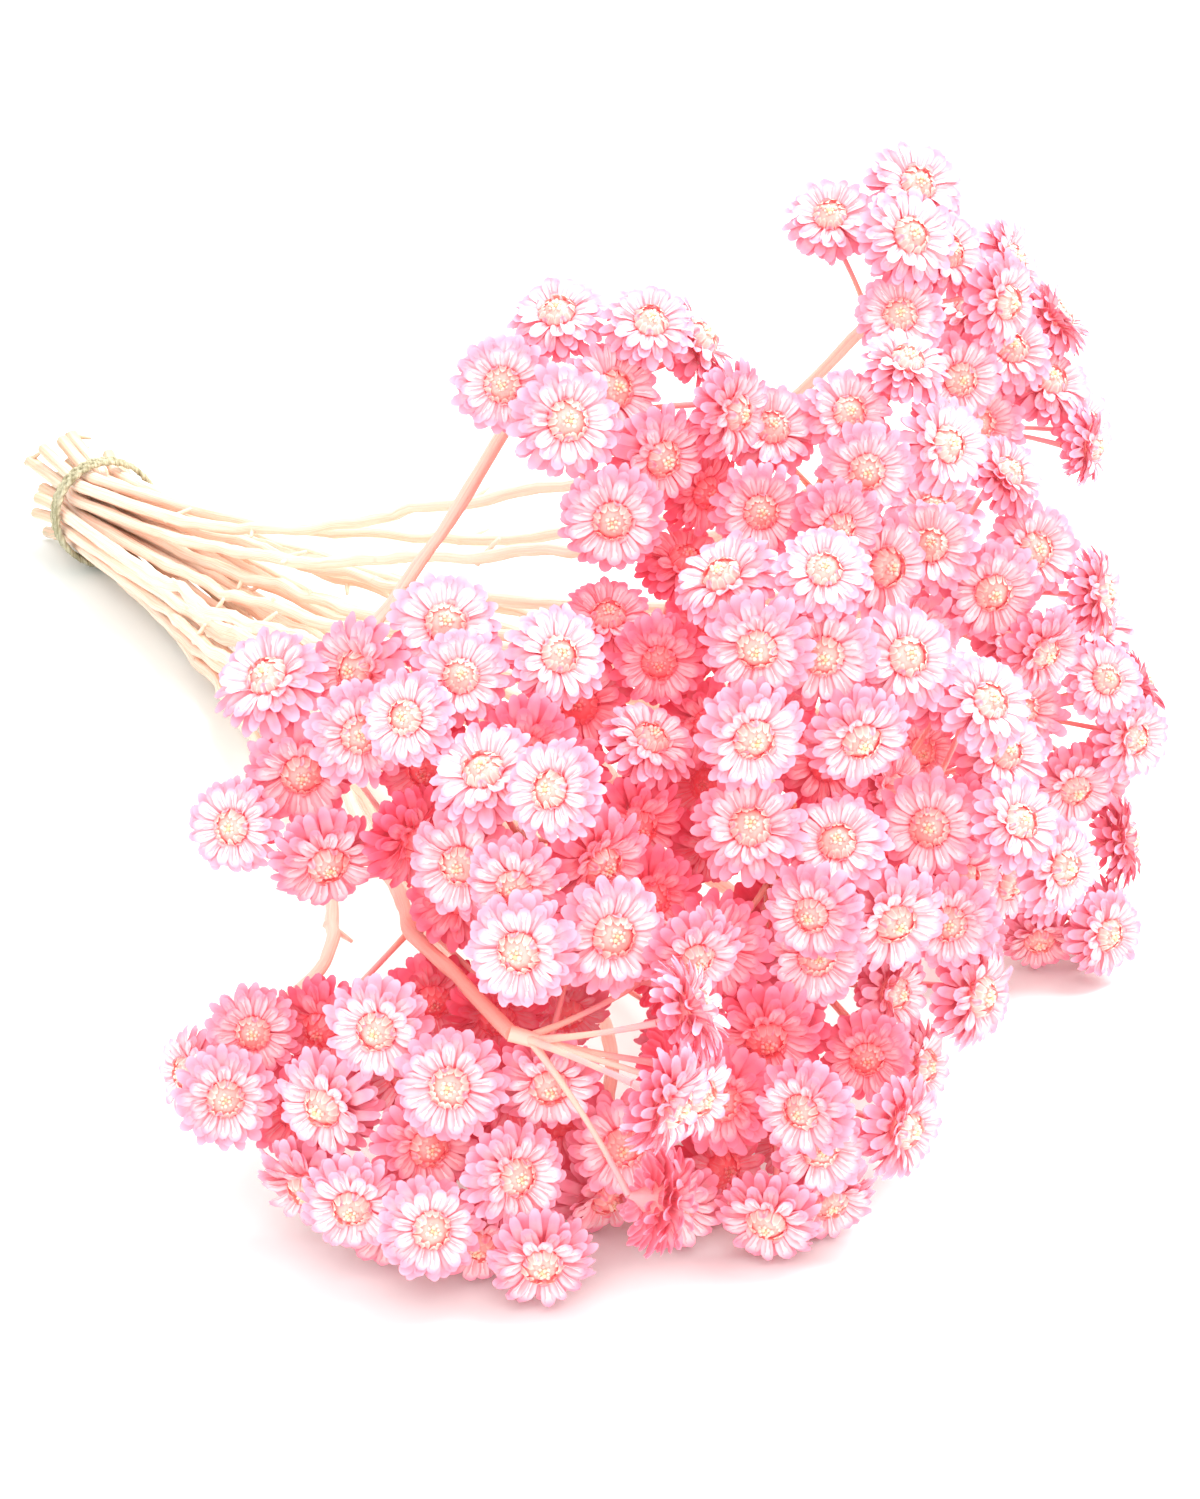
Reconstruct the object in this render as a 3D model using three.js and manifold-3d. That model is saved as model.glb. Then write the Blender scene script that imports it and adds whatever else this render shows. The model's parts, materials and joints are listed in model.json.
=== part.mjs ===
// Dried starflower: a bunch of sprigs lying on its side, tied near the cut ends.
// Every sprig is a cream stem that carries one pink spray of small papery heads.
// Millimetres. X runs from the cut ends to the flowers and Z is up.
import * as THREE from 'three';
import Module from 'manifold-3d';

const wasm = await Module();
wasm.setup();
const { Manifold, Mesh } = wasm;

// Colours
const STEM_COLOUR = '#f3dcb9';
const BLOOM_COLOUR = '#f0a2b8';
const TIE_COLOUR = '#b9ad86';

// One flower head, about 14 mm across; z is measured along the way it faces
const BRACTS = 6;
const DISC_SIDES = 4;
const OUTER_TIP = { r: 7.2, z: 0.7 };
const OUTER_NOTCH = { r: 5.7, z: 0.1 };
const INNER_TIP = { r: 5.4, z: 2.5 };
const DISC_FOOT = { r: 2.4, z: 1.1 };
const DISC_TOP = { r: 1.7, z: 3.0 };
const CUP = { r: 3.5, z: -2.0 };
const NECK = { r: 0.45, z: -4.3 };
const HEAD_OUTLINE = [OUTER_TIP, INNER_TIP, DISC_TOP, CUP, NECK];
const HEAD_SIZE_SWING = 0.1;
const TIP_SWING = 0.07;

// A spray: a short axis with the thin head stalks leaving it
const AXIS_LENGTH = 7;
const AXIS_ROOT_RADIUS = 1.05;
const AXIS_TIP_RADIUS = 0.55;
const HEAD_STALK_RADIUS = 0.42;
const SPRAY_DEPTH = 25;
const DOME_DROP = 5;
const OUTWARD_LEAN = 0.65;
const LEAN_SWING = 0.45;
const DEPTH_SWING = 4;
const WIDEST_SPREAD = 17;
const LOWEST_STALK = 1.6;
const HIGHEST_STALK = 6.2;
const GOLDEN_ANGLE = 2.399963;

// Stems, the waist where they are held, and the ties round it
const STEM_WAIST_RADIUS = 1.35;
const STEM_TOP_RADIUS = 1.0;
const STEM_SIDES = 5;
const STEM_PITCH = 3.4;
const STEM_WAVE = 3.2;
const BUNDLE_RADIUS = 9;
const BUNDLE_TWIST = 1.2;
const TAIL_SHORTEST = 12;
const TAIL_LONGEST = 28;
const TAIL_SPLAY = 0.4;
const WAIST_HALF_LENGTH = 7;
const FAN_CURVE = 1.6;
const STEM_BENDS = [0.34, 0.68];
const STEM_POINTS = 7;
const APPROACH_LENGTH = 30;
const TIE_TURNS = 3;
const TIE_PITCH = 1.6;
const TIE_CORD = 1.4;
const TIE_SIDES = 16;

// Clear space between pieces that touch, and how the heads are settled clear of each other
const GAP = 0.3;
const HEAD_CLEARANCE = 0.3;
const ROD_CLEARANCE = 0.5;
const SETTLE_ROUNDS = 260;
const PULL = 0.12;
const SLOPES = [0.35, 0.6, 0.8];

// The sprays: where each is centred, how many heads it has, how far they spread and how
// far the spiral of heads is turned, in degrees.
// X and Y are measured from the waist, Z from the surface the bunch lies on.
// Where given, "facing" is the way the stem enters, "look" the way the heads face, "depth"
// how far below the centre the head stalks part, and "via" a point that the stem passes.
const SPRAYS = [
  {
    at: [290, -15, 106], heads: 10, spread: 17, turn: 150, facing: [0.9, 0.3, 0.32],
    look: [0.88, -0.1, 0.42], via: [238, -33, 60],
  },
  { at: [301, -14, 73], heads: 7, spread: 15, turn: 240 },
  { at: [257, 53, 113], heads: 8, spread: 17, turn: 30, via: [214, 40, 76] },
  { at: [245, 81, 88], heads: 7, spread: 15, turn: 0 },
  { at: [302, 15, 96], heads: 8, spread: 16, turn: 315 },
  { at: [284, 48, 71], heads: 7, spread: 17, turn: 240 },
  { at: [271, 76, 39], heads: 8, spread: 16, turn: 330 },
  { at: [324, -4, 77], heads: 7, spread: 15, turn: 30 },
  { at: [312, 6, 46], heads: 7, spread: 19, turn: 180 },
  { at: [314, -28, 55], heads: 6, spread: 14, turn: 15 },
  { at: [306, -47, 72], heads: 7, spread: 14, turn: 60 },
  { at: [301, -65, 61], heads: 6, spread: 14, turn: 150 },
  { at: [324, -47, 55], heads: 5, spread: 14, turn: 60 },
  { at: [308, -57, 37], heads: 6, spread: 14, turn: 165 },
  { at: [333, -9, 45], heads: 7, spread: 14, turn: 150 },
  { at: [326, 2, 24], heads: 7, spread: 18, turn: 270 },
  { at: [342, -13, 16], heads: 6, spread: 14, turn: 315 },
  { at: [304, 31, 43], heads: 7, spread: 19, turn: 120 },
  { at: [277, 70, 8], heads: 6, spread: 18, turn: 210 },
  {
    at: [345, -33, 31], heads: 6, spread: 18, turn: 195, facing: [0.5, 0.82, -0.26],
    depth: 23, via: [299, -49, 37],
  },
  { at: [300, -78, 22], heads: 4, spread: 10, turn: 285 },
  { at: [320, -63, 22], heads: 6, spread: 14, turn: 45 },
  { at: [332, -60, 13], heads: 7, spread: 13, turn: 120 },
  { at: [328, -34, 8], heads: 6, spread: 12, turn: 165 },
  { at: [336, -41, 52], heads: 5, spread: 18, turn: 60 },
  { at: [258, 60, 58], heads: 3, spread: 14, turn: 180 },
  { at: [244, 69, 27], heads: 4, spread: 17, turn: 30 },
  { at: [298, -28, 22], heads: 4, spread: 19, turn: 285 },
  { at: [326, 24, 51], heads: 5, spread: 19, turn: 45 },
];
const FAN_CENTRE = new THREE.Vector3(130, 42, 16);
const STEEPEST_DROP = -0.35;
const DOWN = new THREE.Vector3(0, 0, -1);

// A seeded draw, so that every build places the heads alike
function seededDraw(seed) {
  let state = seed;
  return () => {
    state = (state + 0x6d2b79f5) | 0;
    let t = Math.imul(state ^ (state >>> 15), 1 | state);
    t = (t + Math.imul(t ^ (t >>> 7), 61 | t)) ^ t;
    return ((t ^ (t >>> 14)) >>> 0) / 4294967296;
  };
}

function swing(draw, size) {
  return (draw() * 2 - 1) * size;
}

// Two directions square to a given one
function squareTo(direction) {
  const guide = Math.abs(direction.z) < 0.9 ? new THREE.Vector3(0, 0, 1) : new THREE.Vector3(0, 1, 0);
  const across = new THREE.Vector3().crossVectors(guide, direction).normalize();
  const along = new THREE.Vector3().crossVectors(direction, across);
  return [across, along];
}

// The head places of one spray: a spiral over a shallow dome
function layOutSpray(row, index) {
  const draw = seededDraw(4100 + index * 17);
  const centre = new THREE.Vector3(...row.at);
  const facing = row.facing ? new THREE.Vector3(...row.facing) : centre.clone().sub(FAN_CENTRE);
  facing.normalize();
  facing.z = Math.max(facing.z, STEEPEST_DROP);
  facing.normalize();
  const look = row.look ? new THREE.Vector3(...row.look).normalize() : facing;
  const base = centre.clone().addScaledVector(facing, -(row.depth ?? SPRAY_DEPTH));
  base.z = Math.max(base.z, STEM_TOP_RADIUS + 1.5);
  const [across, along] = squareTo(look);
  const turn = THREE.MathUtils.degToRad(row.turn);
  const heads = [];
  for (let i = 0; i < row.heads; i += 1) {
    const out = Math.sqrt(i / (row.heads - 1));
    const angle = turn + i * GOLDEN_ANGLE;
    const outward = across.clone().multiplyScalar(Math.cos(angle));
    outward.addScaledVector(along, Math.sin(angle));
    const place = centre.clone().addScaledVector(outward, row.spread * out);
    place.addScaledVector(look, swing(draw, DEPTH_SWING) - DOME_DROP * out * out);
    const faces = look.clone().addScaledVector(outward, OUTWARD_LEAN * out);
    faces.add(new THREE.Vector3(swing(draw, 1), swing(draw, 1), swing(draw, 1)).multiplyScalar(LEAN_SWING));
    faces.z = Math.max(faces.z, STEEPEST_DROP);
    heads.push({
      spray: index,
      place,
      wanted: place.clone(),
      faces: faces.normalize(),
      size: 1 + swing(draw, HEAD_SIZE_SWING),
      draw: seededDraw(9000 + index * 40 + i),
    });
  }
  return { facing, base, heads, via: row.via };
}

// Where a head stalk leaves the axis: stalks that reach out further leave it lower
function stalkRoot(spray, place) {
  const reach = place.clone().sub(spray.base);
  const lateral = reach.addScaledVector(spray.facing, -reach.dot(spray.facing)).length();
  const outward = Math.min(lateral / WIDEST_SPREAD, 1);
  const height = THREE.MathUtils.lerp(HIGHEST_STALK, LOWEST_STALK, outward);
  return spray.base.clone().addScaledVector(spray.facing, height);
}

function neckPoint(head) {
  return head.place.clone().addScaledVector(head.faces, NECK.z * head.size);
}

// How far a head reaches from its middle in a direction
function headReach(head, direction) {
  const up = direction.dot(head.faces);
  const out = Math.sqrt(Math.max(0, 1 - up * up));
  return head.size * Math.max(...HEAD_OUTLINE.map((point) => point.r * out + point.z * up));
}

// Nearest points of two straight runs
function nearestOnRuns(a0, a1, b0, b1) {
  const u = a1.clone().sub(a0);
  const v = b1.clone().sub(b0);
  const w = a0.clone().sub(b0);
  const uu = u.lengthSq();
  const vv = v.lengthSq();
  const uv = u.dot(v);
  const square = Math.max(uu * vv - uv * uv, 1e-9);
  let s = THREE.MathUtils.clamp((uv * v.dot(w) - vv * u.dot(w)) / square, 0, 1);
  const t = THREE.MathUtils.clamp((uv * s + v.dot(w)) / vv, 0, 1);
  s = THREE.MathUtils.clamp((uv * t - u.dot(w)) / uu, 0, 1);
  const apart = a0.clone().addScaledVector(u, s).sub(b0.clone().addScaledVector(v, t));
  return { s, t, apart };
}

function nearestOnRun(point, start, end) {
  const run = end.clone().sub(start);
  const t = THREE.MathUtils.clamp(point.clone().sub(start).dot(run) / run.lengthSq(), 0, 1);
  return { t, apart: point.clone().sub(start.clone().addScaledVector(run, t)) };
}

// Two heads are eased apart along whichever direction needs the least
function partHeads(one, two) {
  const between = two.place.clone().sub(one.place);
  const distance = between.length();
  if (distance > 17) return;
  const tries = [between.clone().divideScalar(Math.max(distance, 0.01)), one.faces, two.faces];
  for (const head of [one, two]) {
    const sideways = between.clone().addScaledVector(head.faces, -between.dot(head.faces)).normalize();
    for (const slope of SLOPES) {
      const rise = Math.sqrt(1 - slope * slope);
      tries.push(sideways.clone().multiplyScalar(slope).addScaledVector(head.faces, rise));
      tries.push(sideways.clone().multiplyScalar(slope).addScaledVector(head.faces, -rise));
    }
  }
  let least = null;
  for (const line of tries) {
    const way = line.clone().multiplyScalar(between.dot(line) < 0 ? -1 : 1);
    const back = way.clone().negate();
    const short = headReach(one, way) + headReach(two, back) + HEAD_CLEARANCE - between.dot(way);
    if (short <= 0) return;
    if (least === null || short < least.short) least = { short, way };
  }
  one.place.addScaledVector(least.way, -least.short * 0.35);
  two.place.addScaledVector(least.way, least.short * 0.35);
}

// A head is eased off a round rod, and the rod's free end the other way if it has one
function partHeadAndRod(head, start, end, radius, owner) {
  const { t, apart } = nearestOnRun(head.place, start, end);
  const distance = apart.length();
  if (distance > 9 + radius) return;
  const way = apart.divideScalar(Math.max(distance, 0.01));
  const short = headReach(head, way.clone().negate()) + radius + HEAD_CLEARANCE - distance;
  if (short <= 0) return;
  head.place.addScaledVector(way, short * 0.4);
  if (owner) owner.place.addScaledVector(way, -short * 0.3 * t);
}

// Two rods from different sprigs are eased apart by moving the heads they end in
function partRods(head, start, end, otherStart, otherEnd, clear, owner) {
  const { s, t, apart } = nearestOnRuns(start, end, otherStart, otherEnd);
  const distance = apart.length();
  if (distance >= clear) return;
  const way = apart.divideScalar(Math.max(distance, 0.01));
  head.place.addScaledVector(way, ((clear - distance) * 0.6) / Math.max(s, 0.35));
  if (owner) owner.place.addScaledVector(way, (-(clear - distance) * 0.6) / Math.max(t, 0.35));
}

// Fixed rods: the stems and the spray axes, cut into straight runs
function fixedRods(sprays, stems) {
  const rods = [];
  stems.forEach((stem, index) => {
    for (let i = 1; i < stem.points.length; i += 1) {
      const radius = Math.max(stem.radii[i - 1], stem.radii[i]);
      rods.push({ start: stem.points[i - 1], end: stem.points[i], radius, sprig: index });
    }
  });
  sprays.forEach((spray, index) => {
    const end = spray.base.clone().addScaledVector(spray.facing, AXIS_LENGTH);
    rods.push({ start: spray.base, end, radius: AXIS_ROOT_RADIUS, sprig: index });
  });
  return rods;
}

// All heads are settled together until none presses on a head, a stalk or a stem
function settleHeads(sprays, stems) {
  const heads = sprays.flatMap((spray) => spray.heads);
  const rods = fixedRods(sprays, stems);
  for (let round = 0; round < SETTLE_ROUNDS; round += 1) {
    const pull = round < SETTLE_ROUNDS * 0.75 ? PULL * (1 - round / SETTLE_ROUNDS) : 0;
    for (const head of heads) head.place.lerp(head.wanted, pull);
    const stalks = heads.map((head) => [stalkRoot(sprays[head.spray], head.place), neckPoint(head)]);
    for (let i = 0; i < heads.length; i += 1) {
      for (let j = i + 1; j < heads.length; j += 1) partHeads(heads[i], heads[j]);
      partHeadAndStalks(heads, stalks, i);
      partHeadAndRods(heads[i], stalks[i], rods);
      heads[i].place.z = Math.max(heads[i].place.z, headReach(heads[i], DOWN));
    }
  }
}

function partHeadAndStalks(heads, stalks, i) {
  const one = heads[i];
  for (let j = 0; j < heads.length; j += 1) {
    const two = heads[j];
    if (i === j || one.place.distanceTo(two.place) > 40) continue;
    partHeadAndRod(one, ...stalks[j], HEAD_STALK_RADIUS, two);
    if (j > i && one.spray !== two.spray) {
      partRods(one, ...stalks[i], ...stalks[j], 2 * HEAD_STALK_RADIUS + ROD_CLEARANCE, two);
    }
  }
}

function partHeadAndRods(head, stalk, rods) {
  for (const rod of rods) {
    partHeadAndRod(head, rod.start, rod.end, rod.radius, null);
    if (rod.sprig === head.spray) continue;
    partRods(head, ...stalk, rod.start, rod.end, rod.radius + HEAD_STALK_RADIUS + ROD_CLEARANCE, null);
  }
}

// Where each stem passes the waist: in the order in which the sprays fan out, then turned
// as a whole, so that the stems cross on their way
function waistPlaces(sprays) {
  const places = sprays.map((spray) => new THREE.Vector2(spray.base.y, spray.base.z));
  const middle = new THREE.Vector2();
  places.forEach((place) => middle.addScaledVector(place, 1 / places.length));
  places.forEach((place) => place.sub(middle));
  const widest = Math.max(...places.map((place) => place.length()));
  places.forEach((place) => place.multiplyScalar(BUNDLE_RADIUS / widest));
  places.forEach((place) => place.rotateAround(new THREE.Vector2(), BUNDLE_TWIST));
  for (let round = 0; round < 600; round += 1) {
    for (let i = 0; i < places.length; i += 1) {
      for (let j = i + 1; j < places.length; j += 1) {
        const apart = places[j].clone().sub(places[i]);
        const short = STEM_PITCH - apart.length();
        if (short <= 0) continue;
        apart.normalize().multiplyScalar(short * 0.5);
        places[i].sub(apart);
        places[j].add(apart);
      }
    }
    places.forEach((place) => place.clampLength(0, BUNDLE_RADIUS));
  }
  return places;
}

// A stem runs from its splayed cut end through the waist and out to its spray
function layOutStem(spray, index, place, waistHeight) {
  const draw = seededDraw(700 + index * 13);
  const atWaist = (x, scale) => {
    const height = waistHeight + place.y * scale;
    return new THREE.Vector3(x, place.x * scale, Math.max(height, STEM_WAIST_RADIUS + 0.1));
  };
  const tail = TAIL_SHORTEST + draw() * (TAIL_LONGEST - TAIL_SHORTEST);
  const near = atWaist(WAIST_HALF_LENGTH, 1);
  const approach = spray.via
    ? new THREE.Vector3(...spray.via)
    : spray.base.clone().addScaledVector(spray.facing, -APPROACH_LENGTH);
  approach.z = Math.max(approach.z, 3);
  const splay = 1 + (TAIL_SPLAY * tail) / TAIL_LONGEST;
  const points = [atWaist(-tail, splay), atWaist(-WAIST_HALF_LENGTH, 1), near];
  for (const share of STEM_BENDS) {
    const point = near.clone().lerp(approach, share ** FAN_CURVE);
    point.x = THREE.MathUtils.lerp(near.x, approach.x, share);
    point.y += swing(draw, STEM_WAVE) * share;
    point.z += swing(draw, STEM_WAVE) * share;
    point.z = Math.max(point.z, 2.2);
    points.push(point);
  }
  points.push(approach, spray.base.clone().addScaledVector(spray.facing, -GAP));
  const radii = points.map((point, i) => {
    const share = Math.max(0, i - 1) / (points.length - 2);
    return STEM_WAIST_RADIUS + (STEM_TOP_RADIUS - STEM_WAIST_RADIUS) * share;
  });
  return { points, radii };
}

// Stems that would touch beyond the waist are eased apart
function settleStems(stems) {
  for (let round = 0; round < 120; round += 1) {
    for (let i = 0; i < stems.length; i += 1) {
      for (let j = i + 1; j < stems.length; j += 1) {
        for (let a = 3; a < STEM_POINTS; a += 1) {
          for (let b = 3; b < STEM_POINTS; b += 1) partStemRuns(stems[i], a, stems[j], b);
        }
      }
    }
  }
}

function partStemRuns(one, a, two, b) {
  const near = nearestOnRuns(one.points[a - 1], one.points[a], two.points[b - 1], two.points[b]);
  const clear = one.radii[a - 1] + two.radii[b - 1] + ROD_CLEARANCE;
  const distance = near.apart.length();
  if (distance >= clear) return;
  const way = near.apart.divideScalar(Math.max(distance, 0.01)).multiplyScalar((clear - distance) * 0.5);
  nudgeRun(one, a, near.s, way);
  nudgeRun(two, b, near.t, way.clone().negate());
}

// Only the free points of a stem move: not those at the waist, nor the one under the spray
function nudgeRun(stem, end, share, way) {
  if (end - 1 > 2) stem.points[end - 1].addScaledVector(way, 1 - share);
  if (end < STEM_POINTS - 1) stem.points[end].addScaledVector(way, share);
}

// A closed skin over rings of points; rings may differ in how many points they have
function skin(rings) {
  const points = [];
  const faces = [];
  const starts = rings.map((ring) => {
    const start = points.length;
    points.push(...ring.points);
    return start;
  });
  for (let k = 1; k < rings.length; k += 1) zipRings(rings[k - 1], starts[k - 1], rings[k], starts[k], faces);
  const first = rings[0].points.length;
  const last = rings[rings.length - 1].points.length;
  const top = starts[starts.length - 1];
  for (let i = 1; i < first - 1; i += 1) faces.push([0, i + 1, i]);
  for (let i = 1; i < last - 1; i += 1) faces.push([top, top + i, top + i + 1]);
  return { points, faces };
}

// Two rings are joined by stepping round them in the order of their angles
function zipRings(lower, lowerStart, upper, upperStart, faces) {
  const lowerCount = lower.points.length;
  const upperCount = upper.points.length;
  let i = 0;
  let j = 0;
  while (i < lowerCount || j < upperCount) {
    const here = lowerStart + (i % lowerCount);
    const above = upperStart + (j % upperCount);
    const lowerNext = nextAngle(lower.angles, i);
    const upperNext = nextAngle(upper.angles, j);
    if (j === upperCount || (i < lowerCount && lowerNext < upperNext - 1e-6)) {
      faces.push([here, lowerStart + ((i + 1) % lowerCount), above]);
      i += 1;
    } else {
      faces.push([here, upperStart + ((j + 1) % upperCount), above]);
      j += 1;
    }
  }
}

function nextAngle(angles, i) {
  return i + 1 < angles.length ? angles[i + 1] : angles[0] + Math.PI * 2;
}

// A ring of points round a middle, square to a direction
function ringAround(middle, across, along, angles, radiusAt) {
  const points = angles.map((angle, i) => {
    const radius = radiusAt(i);
    const point = middle.clone().addScaledVector(across, Math.cos(angle) * radius);
    return point.addScaledVector(along, Math.sin(angle) * radius);
  });
  return { points, angles };
}

function evenAngles(count, offset = 0) {
  return Array.from({ length: count }, (_, i) => offset + (i * Math.PI * 2) / count);
}

// One head with its thin stalk: cup, outer bracts, inner bracts and a low button disc
function headRings(head, root) {
  const { faces, size, draw } = head;
  const [baseAcross] = squareTo(faces);
  const across = baseAcross.applyAxisAngle(faces, draw() * Math.PI * 2);
  const along = new THREE.Vector3().crossVectors(faces, across);
  const level = (z) => head.place.clone().addScaledVector(faces, z * size);
  const ring = (z, angles, radiusAt) => ringAround(level(z), across, along, angles, radiusAt);
  const stalkWay = neckPoint(head).sub(root).normalize();
  const rootAcross = across.clone().addScaledVector(stalkWay, -across.dot(stalkWay)).normalize();
  const rootAlong = new THREE.Vector3().crossVectors(stalkWay, rootAcross);
  const discAngles = evenAngles(DISC_SIDES);
  const notchAngles = evenAngles(BRACTS, Math.PI / BRACTS);
  const outer = evenAngles(BRACTS * 2);
  const outerPoints = outer.map((angle, i) => {
    const shape = i % 2 === 0 ? OUTER_TIP : OUTER_NOTCH;
    const radius = shape.r * size * (1 + swing(draw, TIP_SWING));
    const point = level(shape.z + swing(draw, 0.35)).addScaledVector(across, Math.cos(angle) * radius);
    return point.addScaledVector(along, Math.sin(angle) * radius);
  });
  return [
    ringAround(root, rootAcross, rootAlong, evenAngles(3), () => HEAD_STALK_RADIUS),
    ring(NECK.z, evenAngles(3), () => NECK.r * size),
    ring(CUP.z, evenAngles(3), () => CUP.r * size),
    { points: outerPoints, angles: outer },
    ring(INNER_TIP.z, notchAngles, () => INNER_TIP.r * size * (1 + swing(draw, TIP_SWING))),
    ring(DISC_FOOT.z, discAngles, () => DISC_FOOT.r * size),
    ring(DISC_TOP.z, discAngles, () => DISC_TOP.r * size),
  ];
}

function axisRings(spray) {
  const [across, along] = squareTo(spray.facing);
  const end = spray.base.clone().addScaledVector(spray.facing, AXIS_LENGTH);
  return [
    ringAround(spray.base, across, along, evenAngles(STEM_SIDES), () => AXIS_ROOT_RADIUS),
    ringAround(end, across, along, evenAngles(STEM_SIDES), () => AXIS_TIP_RADIUS),
  ];
}

function stemRings(stem, spray) {
  const last = stem.points.length - 1;
  return stem.points.map((point, i) => {
    const back = stem.points[Math.max(i - 1, 0)];
    const ahead = stem.points[Math.min(i + 1, last)];
    const way = i === last ? spray.facing.clone() : ahead.clone().sub(back).normalize();
    const [across, along] = squareTo(way);
    return ringAround(point, across, along, evenAngles(STEM_SIDES), () => stem.radii[i]);
  });
}

function toManifold({ points, faces }) {
  const vertProperties = new Float32Array(points.flatMap((point) => point.toArray()));
  return new Manifold(new Mesh({ numProp: 3, vertProperties, triVerts: new Uint32Array(faces.flat()) }));
}

function toGeometry(positions, index) {
  const geometry = new THREE.BufferGeometry();
  geometry.setAttribute('position', new THREE.BufferAttribute(new Float32Array(positions), 3));
  geometry.setIndex(Array.from(index));
  geometry.computeVertexNormals();
  return geometry;
}

// The axis and every head of a spray are joined into one body
function sprayGeometry(spray) {
  const solids = [toManifold(skin(axisRings(spray)))];
  for (const head of spray.heads) {
    solids.push(toManifold(skin(headRings(head, stalkRoot(spray, head.place)))));
  }
  const bodies = Manifold.union(solids).decompose();
  const whole = bodies.reduce((best, body) => (body.volume() > best.volume() ? body : best));
  const mesh = whole.getMesh();
  return toGeometry(mesh.vertProperties, mesh.triVerts);
}

function stemGeometry(stem, spray) {
  const { points, faces } = skin(stemRings(stem, spray));
  return toGeometry(points.flatMap((point) => point.toArray()), faces.flat());
}

// The tie: a few close turns of cord round the waist, one ridge a turn
function tieGeometry(innerRadius, waistHeight) {
  const half = (TIE_TURNS * TIE_PITCH) / 2;
  const valley = innerRadius + TIE_CORD / 2;
  const outline = [[-half, innerRadius], [-half, valley]];
  for (let turn = 0; turn < TIE_TURNS; turn += 1) {
    outline.push([-half + (turn + 0.5) * TIE_PITCH, innerRadius + TIE_CORD]);
    outline.push([-half + (turn + 1) * TIE_PITCH, valley]);
  }
  outline.push([half, innerRadius]);
  const count = outline.length;
  const points = [];
  const faces = [];
  for (let side = 0; side < TIE_SIDES; side += 1) {
    const angle = ((side + 0.5) / TIE_SIDES) * Math.PI * 2;
    const next = (side + 1) % TIE_SIDES;
    outline.forEach(([x, radius], i) => {
      points.push(x, Math.sin(angle) * radius, waistHeight - Math.cos(angle) * radius);
      const here = side * count + i;
      const on = side * count + ((i + 1) % count);
      const there = next * count + i;
      const thereOn = next * count + ((i + 1) % count);
      faces.push(here, there, on, on, there, thereOn);
    });
  }
  return toGeometry(points, faces);
}

function addPiece(group, name, geometry, colour) {
  const material = new THREE.MeshStandardMaterial({ color: colour, roughness: 0.85, flatShading: true });
  const piece = new THREE.Mesh(geometry, material);
  piece.name = name;
  group.add(piece);
}

const sprays = SPRAYS.map(layOutSpray);
const places = waistPlaces(sprays);
const bundleReach = Math.max(...places.map((place) => place.length())) + STEM_WAIST_RADIUS;
const flatShare = Math.cos(Math.PI / TIE_SIDES);
const tieInner = (bundleReach + GAP) / flatShare;
const waistHeight = (tieInner + TIE_CORD) * flatShare;
const stems = sprays.map((spray, index) => layOutStem(spray, index, places[index], waistHeight));
settleStems(stems);
settleHeads(sprays, stems);

const starflower = new THREE.Group();
starflower.name = 'dried_starflower';
sprays.forEach((spray, index) => {
  const number = String(index + 1).padStart(2, '0');
  addPiece(starflower, `stem_${number}`, stemGeometry(stems[index], spray), STEM_COLOUR);
  addPiece(starflower, `blooms_${number}`, sprayGeometry(spray), BLOOM_COLOUR);
});
addPiece(starflower, 'tie', tieGeometry(tieInner, waistHeight), TIE_COLOUR);

// The origin is the middle of the bunch's footprint, on the surface it lies on
const box = new THREE.Box3().setFromObject(starflower);
const middle = box.getCenter(new THREE.Vector3());
for (const piece of starflower.children) piece.geometry.translate(-middle.x, -middle.y, -box.min.z);

export default starflower;
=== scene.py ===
# A dried bunch of pink starflowers that lies on its side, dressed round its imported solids.
# Metres, in the frame of the solids: X runs from the cut ends to the flowers and Z is up.
import json
import math
import random

import bmesh
import bpy
from mathutils import Matrix, Vector

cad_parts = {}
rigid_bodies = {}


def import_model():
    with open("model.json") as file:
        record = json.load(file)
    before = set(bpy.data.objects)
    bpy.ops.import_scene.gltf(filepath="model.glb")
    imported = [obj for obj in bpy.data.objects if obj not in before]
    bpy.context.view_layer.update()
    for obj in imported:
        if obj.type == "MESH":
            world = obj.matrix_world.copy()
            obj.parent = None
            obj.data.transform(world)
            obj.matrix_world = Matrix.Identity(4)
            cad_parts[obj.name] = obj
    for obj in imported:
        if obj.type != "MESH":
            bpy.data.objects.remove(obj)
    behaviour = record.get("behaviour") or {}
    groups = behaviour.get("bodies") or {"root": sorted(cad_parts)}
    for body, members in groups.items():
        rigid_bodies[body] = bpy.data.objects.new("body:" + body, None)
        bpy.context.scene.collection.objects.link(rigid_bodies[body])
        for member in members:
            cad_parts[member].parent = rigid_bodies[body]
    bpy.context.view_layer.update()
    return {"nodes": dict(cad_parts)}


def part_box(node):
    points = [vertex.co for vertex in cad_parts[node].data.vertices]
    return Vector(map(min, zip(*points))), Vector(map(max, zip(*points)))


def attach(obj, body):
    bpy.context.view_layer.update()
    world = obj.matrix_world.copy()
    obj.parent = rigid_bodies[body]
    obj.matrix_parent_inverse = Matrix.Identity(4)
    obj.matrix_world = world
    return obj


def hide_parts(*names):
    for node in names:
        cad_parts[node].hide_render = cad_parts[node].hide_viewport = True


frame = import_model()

MM = 0.001

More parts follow.
